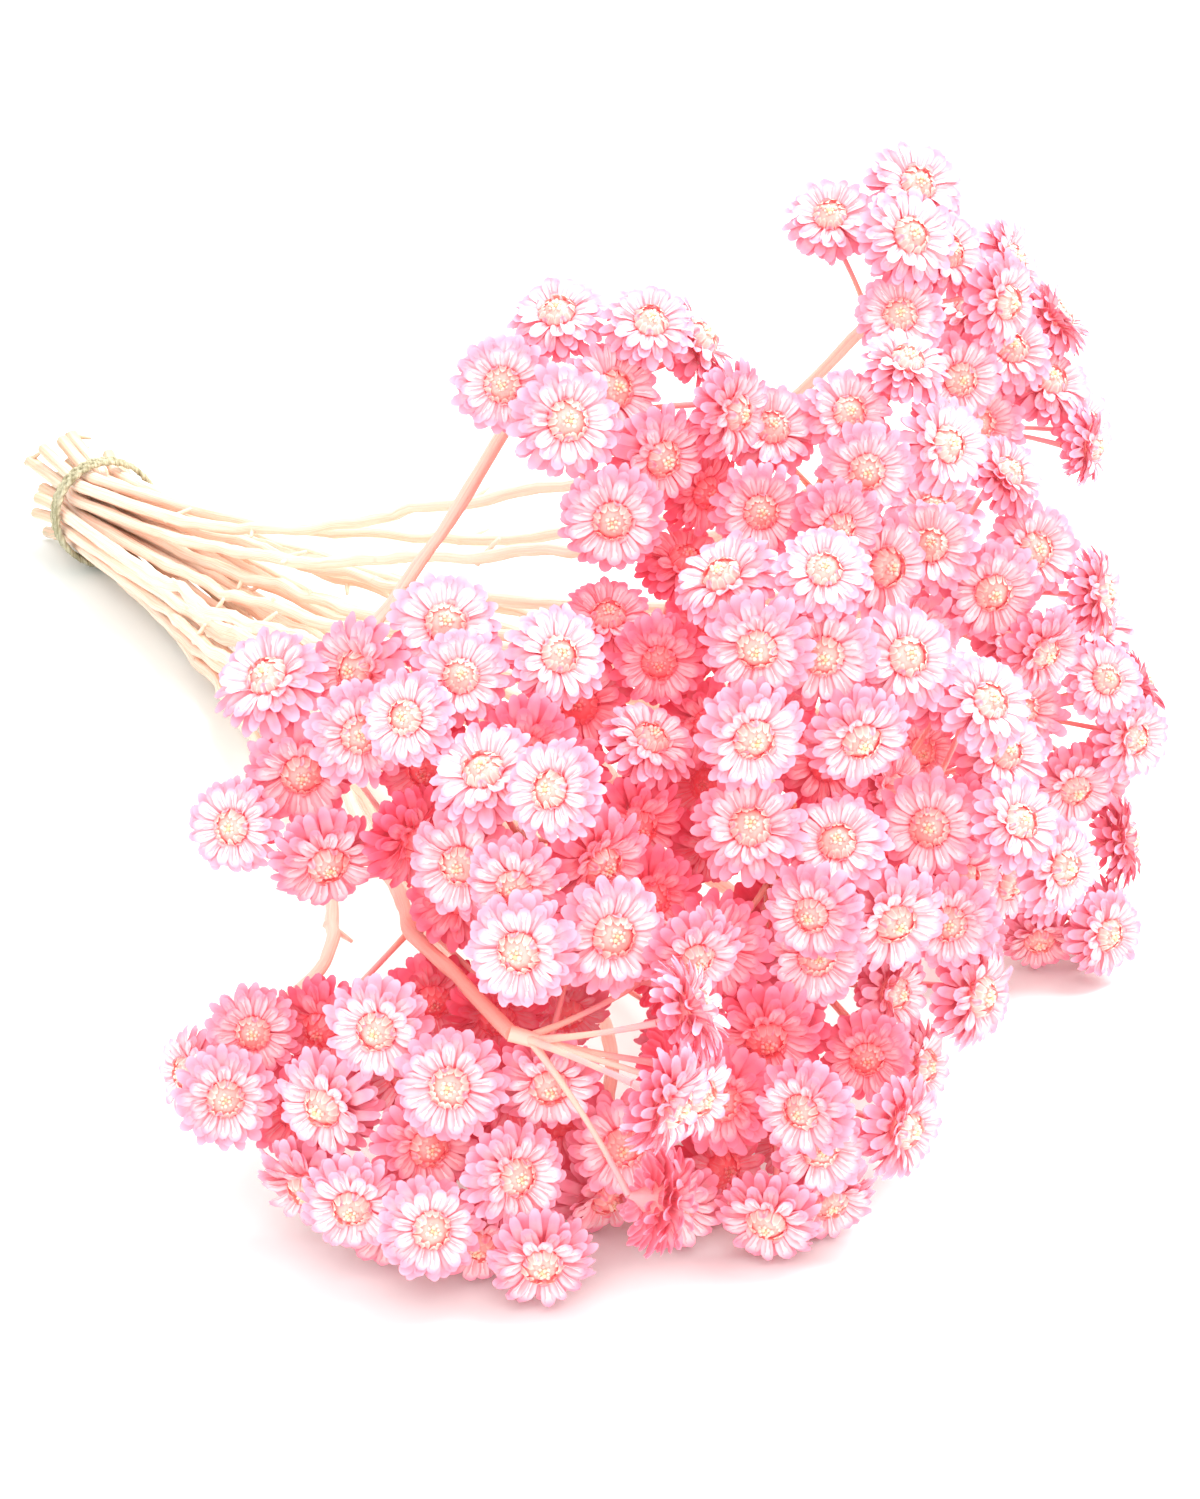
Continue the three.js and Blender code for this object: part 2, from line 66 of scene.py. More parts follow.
# The view: the bunch lies on a plain white sheet and the camera looks down on it from beside
# the flowers, with the cut ends far off. The camera's place is measured from the tie.
CAMERA_FROM_TIE = Vector((708.6, -217.2, 0.0)) * MM
CAMERA_HEIGHT = 225 * MM
LOOKS_ALONG = Vector((-0.8496, 0.4016, -0.342))
LENS_MM = 85.0
SHEET_HALF_SIDE = 3.0
SHEET_WHITE = (0.87, 0.94, 0.93, 1)
SKY_WHITE = (1.0, 0.985, 0.98, 1)
SKY_STRENGTH = 1.17

tie_low, tie_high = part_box("tie")
waist = (tie_low + tie_high) / 2

camera_data = bpy.data.cameras.new("camera")
camera_data.lens = LENS_MM
camera_data.clip_start = 0.01
camera = bpy.data.objects.new("camera", camera_data)
camera.location = Vector((waist.x, waist.y, 0)) + CAMERA_FROM_TIE + Vector((0, 0, CAMERA_HEIGHT))
camera.rotation_euler = LOOKS_ALONG.to_track_quat("-Z", "Y").to_euler()
bpy.context.scene.collection.objects.link(camera)
bpy.context.scene.camera = camera
bpy.context.scene.view_settings.view_transform = "Standard"


def plain_mesh_object(name, points, edges, faces):
    """An object with a mesh of its own, placed at the origin"""
    mesh = bpy.data.meshes.new(name)
    mesh.from_pydata(points, edges, faces)
    thing = bpy.data.objects.new(name, mesh)
    bpy.context.scene.collection.objects.link(thing)
    return thing


side = SHEET_HALF_SIDE
corners = [(-side, -side, 0), (side, -side, 0), (side, side, 0), (-side, side, 0)]
sheet = plain_mesh_object("sheet", corners, [], [(0, 1, 2, 3)])
sheet_finish = bpy.data.materials.new("white sheet")
sheet_finish.use_nodes = True
sheet_shader = sheet_finish.node_tree.nodes["Principled BSDF"]
sheet_shader.inputs["Base Color"].default_value = SHEET_WHITE
sheet_shader.inputs["Roughness"].default_value = 0.9
sheet.data.materials.append(sheet_finish)

sky = bpy.data.worlds.new("studio")
sky.use_nodes = True
backdrop = sky.node_tree.nodes["Background"]
backdrop.inputs["Color"].default_value = SKY_WHITE
backdrop.inputs["Strength"].default_value = SKY_STRENGTH
bpy.context.scene.world = sky


def softbox(name, place, side_length, power, tint):
    """A square soft light that looks at the middle of the bunch"""
    light = bpy.data.lights.new(name, "AREA")
    light.size = side_length
    light.energy = power
    light.color = tint
    lamp = bpy.data.objects.new(name, light)
    lamp.location = place
    lamp.rotation_euler = (Vector((0, 0, 0.04)) - Vector(place)).to_track_quat("-Z", "Y").to_euler()
    bpy.context.scene.collection.objects.link(lamp)


softbox("softbox above", (0.1, 0.5, 1.1), 0.8, 19, (1.0, 0.99, 0.98))
softbox("softbox in front", (1.0, -0.5, 0.8), 0.9, 9, (1.0, 0.98, 0.98))

# The stems: 29 straw stems, cut off at the tied end, that wave and carry short twig stubs.
# They are cream at the cut end and blush towards the flowers, painted darker coral shade among the heads;
# each is swept along its solid.
STEM_SIDES_IN_SOLID = 5
DISC_SIDES_IN_SOLID = 4
DISC_TOP_RADIUS = 1.7 * MM
DISC_TOP_HEIGHT = 3.0 * MM
FLAT_WITHIN = 0.002
EVEN_WITHIN = 0.02 * MM
HEAD_SIZES = (0.85, 1.15)
STEM_GAP = 0.3 * MM
STEM_FINE_SIDES = 9
STEM_STEP = 3.2 * MM
STEM_SWAY = 1.3 * MM
STEM_KNOT = 0.64
STEM_SLIM = 0.05
BARK_DEPTH = 0.16 * MM
WAIST_REACH = 16 * MM
STUB_SPACING = 34 * MM
STUB_LENGTH = 4.6 * MM
STUB_RADIUS = 0.62 * MM
STUB_CHANCE = 0.62
STUB_FREE = 0.6
STUB_LEAN = (-1.1, -0.6)
RIB_GRAIN = (90.0, 1.7, 1.7)
STEM_SEED = 40
CROWD_REACH = 36 * MM
FULL_CROWD = 7.0
SPRIGS = sorted(int(name[-2:]) for name in frame["nodes"] if name.startswith("stem_"))
GEOMETRY = "NodeSocketGeometry"
NUMBER = "NodeSocketFloat"
WHOLE = "NodeSocketInt"
FINISH = "NodeSocketMaterial"
SHAPES = "NodeSocketCollection"
SHAPE = "NodeSocketObject"


def start_tree(name, inputs):
    """An empty geometry tree with the named inputs; also returns their sockets by name"""
    tree = bpy.data.node_groups.new(name, "GeometryNodeTree")
    for label, kind in inputs.items():
        tree.interface.new_socket(name=label, in_out="INPUT", socket_type=kind)
    tree.interface.new_socket(name="Geometry", in_out="OUTPUT", socket_type=GEOMETRY)
    return tree, tree.nodes.new("NodeGroupInput").outputs


def put(tree, kind, *feeds, **settings):
    """Adds a node, feeds its live inputs in order and returns its first live output"""
    node = tree.nodes.new(kind)
    for name, value in settings.items():
        setattr(node, name, value)
    live = [socket for socket in node.inputs if socket.enabled]
    for socket, feed in zip(live, feeds):
        if isinstance(feed, bpy.types.NodeSocket):
            tree.links.new(feed, socket)
        elif feed is not None:
            socket.default_value = feed
    return next(socket for socket in node.outputs if socket.enabled)


def calc(tree, operation, *feeds):
    return put(tree, "ShaderNodeMath", *feeds, operation=operation)


def vector_calc(tree, operation, *feeds):
    return put(tree, "ShaderNodeVectorMath", *feeds, operation=operation)


def scaled(tree, vector, share):
    return put(tree, "ShaderNodeVectorMath", vector, share, operation="SCALE")


def drawn(tree, low, high, seed):
    """A seeded random number for each point"""
    return put(tree, "FunctionNodeRandomValue", low, high, None, seed, data_type="FLOAT")


def read(tree, name, data_type="FLOAT"):
    return put(tree, "GeometryNodeInputNamedAttribute", name, data_type=data_type)


def keep(tree, geometry, name, value, data_type="FLOAT", domain="POINT"):
    """Writes a named attribute on the geometry"""
    return put(tree, "GeometryNodeStoreNamedAttribute", geometry, None, name, value,
               data_type=data_type, domain=domain)


def join(tree, *parts):
    node = tree.nodes.new("GeometryNodeJoinGeometry")
    for part in parts:
        tree.links.new(part, node.inputs[0])
    return node.outputs[0]


def end_tree(tree, geometry):
    tree.links.new(geometry, tree.nodes.new("NodeGroupOutput").inputs["Geometry"])
    return tree


def grown(name, source, tree, values):
    """Runs a tree on a source object and keeps the result as one plain mesh"""
    modifier = source.modifiers.new("grow", "NODES")
    modifier.node_group = tree
    for socket in tree.interface.items_tree:
        if socket.in_out == "INPUT" and socket.name in values:
            modifier[socket.identifier] = values[socket.name]
    bpy.context.view_layer.update()
    graph = bpy.context.evaluated_depsgraph_get()
    seen = source.evaluated_get(graph)
    mesh = bpy.data.meshes.new_from_object(seen, preserve_all_data_layers=True, depsgraph=graph)
    mesh.name = name
    bpy.data.objects.remove(source)
    return mesh


def show(name, mesh, slot, *nodes):
    """Places a finished mesh as a piece that stands for solids of the bunch"""
    piece = bpy.data.objects.new(name, mesh)
    bpy.context.scene.collection.objects.link(piece)
    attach(piece, "root")
    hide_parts(*nodes)
    return piece


def joined_skin(node):
    """A merged copy of a solid's loose triangles"""
    skin = bmesh.new()
    skin.from_mesh(frame["nodes"][node].data)
    bmesh.ops.remove_doubles(skin, verts=skin.verts, dist=0.001 * MM)
    return skin


def stem_course(number):
    """The middles and radii of a stem's rings, and the way its last ring faces"""
    skin = joined_skin(f"stem_{number:02d}")
    points = sorted((vertex.co.copy() for vertex in skin.verts), key=lambda point: point.x)
    skin.free()
    count = STEM_SIDES_IN_SOLID
    rings = [points[i:i + count] for i in range(0, len(points), count)]
    middles = [sum(ring, Vector()) / count for ring in rings]
    radii = [(ring[0] - middle).length for ring, middle in zip(rings, middles)]
    facing = (rings[-1][1] - rings[-1][0]).cross(rings[-1][2] - rings[-1][0]).normalized()
    if facing.dot(middles[-1] - middles[-2]) < 0:
        facing.negate()
    return middles, radii, facing


def head_places(node):
    """Where each head of a spray sits, which way it faces and its size, from its flat disc top"""
    skin = joined_skin(node)
    bmesh.ops.dissolve_limit(skin, angle_limit=FLAT_WITHIN, verts=skin.verts, edges=skin.edges)
    found = []
    for face in skin.faces:
        centre = face.calc_center_median()
        reaches = [(vertex.co - centre).length for vertex in face.verts]
        size = sum(reaches) / len(reaches) / DISC_TOP_RADIUS
        even = max(reaches) - min(reaches) < EVEN_WITHIN
        likely = HEAD_SIZES[0] < size < HEAD_SIZES[1]
        if len(reaches) == DISC_SIDES_IN_SOLID and even and likely:
            normal = face.normal.copy()
            found.append((centre - normal * DISC_TOP_HEIGHT * size, normal, size))
    skin.free()
    return sorted(found, key=lambda head: tuple(head[0]))


def shade_among_heads(point, heads):
    """From 0 in the open to 1 among many heads: the strength of the painted shade on a stem there"""
    near = sum(max(1 - (head[0] - point).length / CROWD_REACH, 0.0) for head in heads)
    return min(near / FULL_CROWD, 1.0)


def shader_group(name, inputs, outputs):
    """A shader node group made with named sockets"""
    group = bpy.data.node_groups.new(name, "ShaderNodeTree")
    for label, kind in inputs.items():
        group.interface.new_socket(name=label, in_out="INPUT", socket_type=kind)
    for label, kind in outputs.items():
        group.interface.new_socket(name=label, in_out="OUTPUT", socket_type=kind)
    return group, group.nodes.new("NodeGroupInput").outputs, group.nodes.new("NodeGroupOutput").inputs


def dried_fibre_group():
    """Fine streaks along a dried piece: out come a streak from 0 to 1 and a slow change of tone"""
    group, given, out = shader_group(
        "dried fibre",
        {"Place": "NodeSocketVector", "Lengthwise": NUMBER, "Crosswise": NUMBER},
        {"Streak": NUMBER, "Mottle": NUMBER},
    )
    stretch = put(group, "ShaderNodeCombineXYZ", given["Lengthwise"], given["Crosswise"], 1.0)
    place = vector_calc(group, "MULTIPLY", given["Place"], stretch)
    streak = put(group, "ShaderNodeTexNoise", place, 1.0, 3.0, 0.6)
    slow = vector_calc(group, "MULTIPLY", place, (0.31, 0.31, 0.9))
    mottle = put(group, "ShaderNodeTexNoise", slow, 1.0, 2.0, 0.5)
    group.links.new(streak, out["Streak"])
    group.links.new(mottle, out["Mottle"])
    return group


dried_fibre = dried_fibre_group()


def fibre(tree, place, lengthwise, crosswise):
    """Places the streaks in a material and returns the streak and the mottle"""
    node = tree.nodes.new("ShaderNodeGroup")
    node.node_tree = dried_fibre
    tree.links.new(place, node.inputs["Place"])
    node.inputs["Lengthwise"].default_value = lengthwise
    node.inputs["Crosswise"].default_value = crosswise
    return node.outputs["Streak"], node.outputs["Mottle"]


def attribute(tree, name, output="Fac"):
    node = tree.nodes.new("ShaderNodeAttribute")
    node.attribute_name = name
    return node.outputs[output]


def between(tree, value, low, high, start=0.0, end=1.0):
    """A smooth step of a value between two limits"""
    return put(tree, "ShaderNodeMapRange", value, low, high, start, end, interpolation_type="SMOOTHSTEP")


def blend_colours(tree, share, one, two, how="MIX"):
    return put(tree, "ShaderNodeMix", share, one, two, data_type="RGBA", blend_type=how)


def finish(name, roughness, subsurface=0.0, reach=0.0):
    """A material with a plain principled shader; returns it, its tree and the shader"""
    material = bpy.data.materials.new(name)
    material.use_nodes = True
    shader = material.node_tree.nodes["Principled BSDF"]
    shader.inputs["Roughness"].default_value = roughness
    shader.inputs["Subsurface Weight"].default_value = subsurface
    shader.inputs["Subsurface Scale"].default_value = reach
    return material, material.node_tree, shader


def raise_bumps(tree, shader, height, distance, strength):
    bump = tree.nodes.new("ShaderNodeBump")
    bump.inputs["Distance"].default_value = distance
    bump.inputs["Strength"].default_value = strength
    tree.links.new(height, bump.inputs["Height"])
    tree.links.new(bump.outputs["Normal"], shader.inputs["Normal"])


STRAW_KHAKI = (0.50, 0.45, 0.30, 1)
STRAW_CREAM = (0.96, 0.76, 0.62, 1)
STRAW_PEACH = (0.95, 0.50, 0.34, 1)
STRAW_BLUSH = (0.95, 0.44, 0.37, 1)
# Painted shade: the coral that stems are darkened to where they run in among the heads.
STRAW_PAINTED_SHADE = (0.94, 0.34, 0.28, 1)


def straw_finish():
    """Dry ribbed straw: khaki where it was tied green, cream along, blushed near the flowers, with painted
    coral shade among the heads
    """
    material, tree, shader = finish("straw", 0.62, 0.06, 0.6 * MM)
    place = attribute(tree, "stem_place", "Vector")
    up = attribute(tree, "up_stem")
    streak, mottle = fibre(tree, place, 60.0, 7.0)
    fresh = calc(tree, "MULTIPLY_ADD", mottle, 0.3, up)
    colour = blend_colours(tree, between(tree, fresh, 0.13, 0.23), STRAW_KHAKI, STRAW_CREAM)
    colour = blend_colours(tree, between(tree, streak, 0.42, 0.66, 0.0, 0.8), colour, STRAW_PEACH)
    patchy = between(tree, mottle, 0.3, 0.75, 0.45, 1.0)
    blush = calc(tree, "MULTIPLY", between(tree, up, 0.45, 0.85), patchy)
    colour = blend_colours(tree, blush, colour, STRAW_BLUSH)
    # Painted shade: darker coral where the stem runs in among the heads.
    painted_shade = between(tree, attribute(tree, "crowd_shade"), 0.35, 0.9)
    colour = blend_colours(tree, painted_shade, colour, STRAW_PAINTED_SHADE)
    tree.links.new(colour, shader.inputs["Base Color"])
    tree.links.new(between(tree, streak, 0.2, 0.8, 0.5, 0.75), shader.inputs["Roughness"])
    raise_bumps(tree, shader, streak, 0.25 * MM, 0.6)
    return material


def stub_shape():
    """A short broken twig, one unit long along X, closed at both ends"""
    sides = 6
    rings = ((-0.3, 1.25), (0.15, 1.0), (0.7, 0.72), (1.0, 0.5))
    points = []
    faces = [tuple(reversed(range(sides)))]
    for k, (x, radius) in enumerate(rings):
        for i in range(sides):
            angle = 2 * math.pi * i / sides
            points.append((x, math.cos(angle) * radius, math.sin(angle) * radius))
            if k:
                on = (i + 1) % sides
                faces.append(((k - 1) * sides + i, (k - 1) * sides + on, k * sides + on, k * sides + i))
    faces.append(tuple((len(rings) - 1) * sides + i for i in range(sides)))
    return plain_mesh_object("stub", points, [], faces)


def stem_tree():
    """Sweeps a waving, knotted, ribbed stem along a line of points and sets stubs on it"""
    tree, given = start_tree("straw stem", {
        "Geometry": GEOMETRY, "Step": NUMBER, "Sides": WHOLE, "Sway": NUMBER, "Knot": NUMBER,
        "Bark depth": NUMBER, "Stub": SHAPE, "Stub spacing": NUMBER, "Stub length": NUMBER,
        "Stub radius": NUMBER, "Seed": WHOLE, "Finish": FINISH,
    })
    line = put(tree, "GeometryNodeMeshToCurve", given["Geometry"])
    line = put(tree, "GeometryNodeCurveSplineType", line, spline_type="CATMULL_ROM")
    line = put(tree, "GeometryNodeResampleCurve", line, None, given["Step"], mode="LENGTH")
    spline = tree.nodes.new("GeometryNodeSplineParameter")
    up, run = spline.outputs["Factor"], spline.outputs["Length"]
    line = keep(tree, line, "up_stem", up)
    line = keep(tree, line, "run", run)
    free = calc(tree, "MULTIPLY", read(tree, "free"), read(tree, "free"))
    lane = calc(tree, "MULTIPLY", given["Seed"], 7.31)
    drift = put(tree, "ShaderNodeTexNoise", None, lane, 42.0, 2.0, 0.5, noise_dimensions="4D").node
    drift = vector_calc(tree, "SUBTRACT", drift.outputs["Color"], (0.5, 0.5, 0.5))
    sway = calc(tree, "MULTIPLY", calc(tree, "MULTIPLY", given["Sway"], 4.0), free)
    line = put(tree, "GeometryNodeSetPosition", line, None, None, scaled(tree, drift, sway))
    swell = put(tree, "ShaderNodeTexNoise", None, lane, 95.0, 1.0, 0.5, noise_dimensions="4D")
    swell = calc(tree, "MULTIPLY_ADD", calc(tree, "SUBTRACT", swell, 0.5), given["Knot"], 1.0)
    radius = calc(tree, "MULTIPLY", read(tree, "stem_radius"), swell)
    profile = put(tree, "GeometryNodeCurvePrimitiveCircle", given["Sides"], 1.0)
    share_round = calc(tree, "DIVIDE", put(tree, "GeometryNodeInputIndex"), given["Sides"])
    profile = keep(tree, profile, "around", share_round)
    body = put(tree, "GeometryNodeCurveToMesh", line, profile, radius, True)
    angle = calc(tree, "MULTIPLY", read(tree, "around"), math.tau)
    place = put(tree, "ShaderNodeCombineXYZ", read(tree, "run"), calc(tree, "SINE", angle),
                calc(tree, "COSINE", angle))
    body = keep(tree, body, "stem_place", place, "FLOAT_VECTOR")
    grain = vector_calc(tree, "MULTIPLY", read(tree, "stem_place", "FLOAT_VECTOR"), RIB_GRAIN)
    rib = put(tree, "ShaderNodeTexNoise", grain, lane, 1.0, 2.0, 0.5, noise_dimensions="4D")
    depth = calc(tree, "MULTIPLY", given["Bark depth"], 2.0)
    rib = calc(tree, "MULTIPLY", calc(tree, "SUBTRACT", rib, 0.5), depth)
    normal = put(tree, "GeometryNodeInputNormal")
    body = put(tree, "GeometryNodeSetPosition", body, None, None, scaled(tree, normal, rib))
    sparse = put(tree, "GeometryNodeResampleCurve", line, None, given["Stub spacing"], mode="LENGTH")
    chance = put(tree, "FunctionNodeRandomValue", STUB_CHANCE, None, given["Seed"], data_type="BOOLEAN")
    clear = read(tree, "free")
    loose = put(tree, "FunctionNodeCompare", clear, STUB_FREE, data_type="FLOAT", operation="GREATER_THAN")
    chosen = put(tree, "FunctionNodeBooleanMath", chance, loose, operation="AND")
    tangent = put(tree, "GeometryNodeInputTangent")
    along = put(tree, "FunctionNodeAlignRotationToVector", None, 1.0, tangent, axis="X")
    spin = put(tree, "ShaderNodeCombineXYZ", drawn(tree, 0.0, math.tau, given["Seed"]), 0.0, 0.0)
    lean = put(tree, "ShaderNodeCombineXYZ", 0.0, drawn(tree, *STUB_LEAN, given["Seed"]), 0.0)
    along = put(tree, "FunctionNodeRotateRotation", along, spin, rotation_space="LOCAL")
    along = put(tree, "FunctionNodeRotateRotation", along, lean, rotation_space="LOCAL")
    size = drawn(tree, 0.45, 1.25, given["Seed"])
    scale = put(tree, "ShaderNodeCombineXYZ", calc(tree, "MULTIPLY", given["Stub length"], size),
                given["Stub radius"], given["Stub radius"])
    stub = put(tree, "GeometryNodeObjectInfo", given["Stub"]).node.outputs["Geometry"]
    stubs = put(tree, "GeometryNodeInstanceOnPoints", sparse, chosen, stub, None, None, along, scale)
    whole = join(tree, body, stubs)
    whole = put(tree, "GeometryNodeRealizeInstances", whole)
    whole = put(tree, "GeometryNodeSetShadeSmooth", whole)
    return end_tree(tree, put(tree, "GeometryNodeSetMaterial", whole, None, given["Finish"]))


def write_attribute(mesh, name, kind, values):
    """Stores one value a point on a mesh"""
    made = mesh.attributes.new(name, kind, "POINT")
    field = "vector" if kind == "FLOAT_VECTOR" else "value"
    for item, value in zip(made.data, values):
        setattr(item, field, value)


straw = straw_finish()
straw_tree = stem_tree()
stub = stub_shape()
bpy.context.scene.collection.objects.unlink(stub)
spray_heads = {number: head_places(f"blooms_{number:02d}") for number in SPRIGS}
all_heads = [head for places in spray_heads.values() for head in places]
courses = {}
for number in SPRIGS:
    middles, radii, facing = stem_course(number)
    courses[number] = (middles[-1] + facing * STEM_GAP, facing)
    line = plain_mesh_object("course", middles, [(i, i + 1) for i in range(len(middles) - 1)], [])
    away = [min(max((abs(middle.x - waist.x) - WAIST_REACH) / WAIST_REACH, 0.0), 1.0) for middle in middles]
    away[-1] = 0.0
    write_attribute(line.data, "free", "FLOAT", away)
    slim = [radius * (1 - STEM_SLIM * share) for radius, share in zip(radii, away)]
    write_attribute(line.data, "stem_radius", "FLOAT", slim)
    # Painted shade: how far each ring of the stem runs in among the heads.
    write_attribute(line.data, "crowd_shade", "FLOAT", [shade_among_heads(middle, all_heads) for middle in middles])
    mesh = grown(f"stem_{number:02d}_fine", line, straw_tree, {
        "Step": STEM_STEP, "Sides": STEM_FINE_SIDES, "Sway": STEM_SWAY, "Knot": STEM_KNOT,
        "Bark depth": BARK_DEPTH, "Stub": stub, "Stub spacing": STUB_SPACING,
        "Stub length": STUB_LENGTH, "Stub radius": STUB_RADIUS, "Seed": STEM_SEED + number, "Finish": straw,
    })
    show(f"straw_stem_{number:02d}", mesh, "stem", f"stem_{number:02d}")

# The flower heads: one row of cupped scales and six of papery bracts round a domed disc of
# tiny florets, over a smooth cup. Each open bract is white along its middle and pink at its
# tip and rim.
BRACT_THICKNESS = 0.028
DISC_RADIUS = 2.5 * MM
DISC_HEIGHT = 1.75 * MM
DISC_FOOT = 0.95 * MM
FLORETS = 11
FLORET_WIDTH = 0.6 * MM
FLORET_PATCH = 0.42
CUP_RADIUS = 2.6 * MM
CUP_TOP = 0.2 * MM
NECK_HEIGHT = -4.3 * MM
NECK_RADIUS = 0.45 * MM
CUP_SIDES = 10
CUP_STEPS = 7
GOLDEN_ANGLE = 2.399963


def half_width(share, widest):
    """Half the width of a bract at a share of its length: narrow foot, blunt rounded tip"""
    if share < widest:
        return 0.5 * (0.42 + 0.58 * math.sin(0.5 * math.pi * share / widest) ** 1.2)
    return 0.5 * math.sqrt(max(0.0, 1 - ((share - widest) / (1 - widest)) ** 2.2))


def bract_shape(name, shares, columns, droop, channel, widest=0.66):
    """A closed bract, one unit long and wide, lying along X from the origin and drooping to its tip"""
    points = []
    places = []

    def add(share, across, rise, under):
        angle = droop * share
        reach = math.sin(angle) / droop
        height = -(1 - math.cos(angle)) / droop
        points.append((reach + rise * math.sin(angle), across * half_width(share, widest),
                       height + rise * math.cos(angle)))
        places.append((share, across, under))
        return len(points) - 1

    top = []
    middle = []
    for share in shares:
        hollow = channel * math.sin(math.pi * min(share * 1.1, 1.0))
        row = []
        for j in range(columns + 1):
            across = 2 * j / columns - 1
            row.append(add(share, across, hollow * across * across, 0.0))
        top.append(row)
        middle.append(add(share, 0.0, hollow * 0.15 - BRACT_THICKNESS, 1.0))
    tip = add(1.0, 0.0, 0.0, 0.0)
    faces = [tuple(top[0]) + (middle[0],)]
    for i in range(len(shares) - 1):
        for j in range(columns):
            faces.append((top[i][j], top[i + 1][j], top[i + 1][j + 1], top[i][j + 1]))
        faces.append((top[i][0], middle[i], middle[i + 1], top[i + 1][0]))
        faces.append((middle[i], top[i][-1], top[i + 1][-1], middle[i + 1]))
    for j in range(columns):
        faces.append((top[-1][j], tip, top[-1][j + 1]))
    faces.append((top[-1][0], middle[-1], tip))
    faces.append((middle[-1], top[-1][-1], tip))
    shape = plain_mesh_object(name, points, [], faces)
    write_attribute(shape.data, "bract_place", "FLOAT_VECTOR", places)
    rim = {frozenset((row[edge], after[edge])) for row, after in zip(top, top[1:]) for edge in (0, -1)}
    rim |= {frozenset((top[-1][edge], tip)) for edge in (0, -1)}
    sharp = shape.data.attributes.new("sharp_edge", "BOOLEAN", "EDGE")
    for edge in shape.data.edges:
        sharp.data[edge.index].value = frozenset(edge.vertices) in rim
    return shape


def shelf(name, *shapes):
    """A collection that holds shapes to be set out by a tree, kept out of the scene"""
    held = bpy.data.collections.new(name)
    for shape in shapes:
        held.objects.link(shape)
        bpy.context.scene.collection.objects.unlink(shape)
    return held


def floret_shape():
    """A tiny five-sided bead, one unit wide, standing on the origin"""
    sides = 5
    rings = ((0.0, 0.40), (0.55, 0.5), (1.0, 0.30))
    points = [(math.cos(math.tau * i / sides) * r, math.sin(math.tau * i / sides) * r, z)
              for z, r in rings for i in range(sides)]
    points.append((0, 0, 0.8))
    faces = [tuple(reversed(range(sides)))]
    for k in (1, 2):
        for i in range(sides):
            on = (i + 1) % sides
            faces.append(((k - 1) * sides + i, (k - 1) * sides + on, k * sides + on, k * sides + i))
    faces += [(2 * sides + i, 2 * sides + (i + 1) % sides, 3 * sides) for i in range(sides)]
    return plain_mesh_object("floret", points, [], faces)


FINE_SHARES = (0.0, 0.25, 0.5, 0.74, 0.92)
PLAIN_SHARES = (0.0, 0.5, 0.84, 0.96)
SCALE_SHARES = (0.0, 0.45, 0.85)
open_bracts = shelf("open bracts",
                    bract_shape("bract_a", FINE_SHARES, 4, 0.45, 0.10),
                    bract_shape("bract_b", FINE_SHARES, 4, 0.75, 0.13),
                    bract_shape("bract_c", FINE_SHARES, 4, 0.15, 0.16, 0.7))
back_bracts = shelf("back bracts",
                    bract_shape("back_a", PLAIN_SHARES, 2, 0.5, 0.10),
                    bract_shape("back_b", PLAIN_SHARES, 2, 0.9, 0.14))
cupped_scales = shelf("cupped scales",
                      bract_shape("scale_a", SCALE_SHARES, 2, -0.9, -0.12, 0.45),
                      bract_shape("scale_b", SCALE_SHARES, 2, -1.3, -0.12, 0.5))
florets = shelf("florets", floret_shape())


def bract_row_tree():
    """One row of bracts round the head, each with its own turn, lift and size"""
    tree, given = start_tree("bract row", {
        "Shapes": SHAPES, "Count": WHOLE, "Base radius": NUMBER, "Base height": NUMBER,
        "Length": NUMBER, "Width": NUMBER, "Lift": NUMBER, "Lift swing": NUMBER,
        "Offset": NUMBER, "Tone": NUMBER, "Seed": WHOLE,
    })

    def lane(number):
        return calc(tree, "ADD", given["Seed"], number)

    points = put(tree, "GeometryNodePoints", given["Count"])
    index = put(tree, "GeometryNodeInputIndex")
    step = calc(tree, "ADD", index, given["Offset"])
    turn = calc(tree, "ADD", step, drawn(tree, -0.22, 0.22, lane(0)))
    angle = calc(tree, "DIVIDE", calc(tree, "MULTIPLY", turn, math.tau), given["Count"])
    foot_x = calc(tree, "MULTIPLY", calc(tree, "COSINE", angle), given["Base radius"])
    foot_y = calc(tree, "MULTIPLY", calc(tree, "SINE", angle), given["Base radius"])
    foot = put(tree, "ShaderNodeCombineXYZ", foot_x, foot_y, given["Base height"])
    points = put(tree, "GeometryNodeSetPosition", points, None, foot)
    tone = calc(tree, "ADD", given["Tone"], drawn(tree, -0.12, 0.12, lane(1)))
    points = keep(tree, points, "row_tone", tone)
    swing = calc(tree, "MULTIPLY", drawn(tree, -1.0, 1.0, lane(2)), given["Lift swing"])
    lift = calc(tree, "MULTIPLY", calc(tree, "ADD", given["Lift"], swing), -1.0)
    roll = drawn(tree, -0.25, 0.25, lane(3))
    rotation = put(tree, "ShaderNodeCombineXYZ", roll, lift, angle)
    length = calc(tree, "MULTIPLY", given["Length"], drawn(tree, 0.92, 1.06, lane(4)))
    width = calc(tree, "MULTIPLY", given["Width"], drawn(tree, 0.82, 1.1, lane(5)))
    scale = put(tree, "ShaderNodeCombineXYZ", length, width, length)
    shapes = put(tree, "GeometryNodeCollectionInfo", given["Shapes"], True, True)
    pick = put(tree, "FunctionNodeRandomValue", 0, 5, None, lane(6), data_type="INT")
    row = put(tree, "GeometryNodeInstanceOnPoints", points, None, shapes, True, pick, rotation, scale)
    return end_tree(tree, put(tree, "GeometryNodeRealizeInstances", row))


bract_row = bract_row_tree()
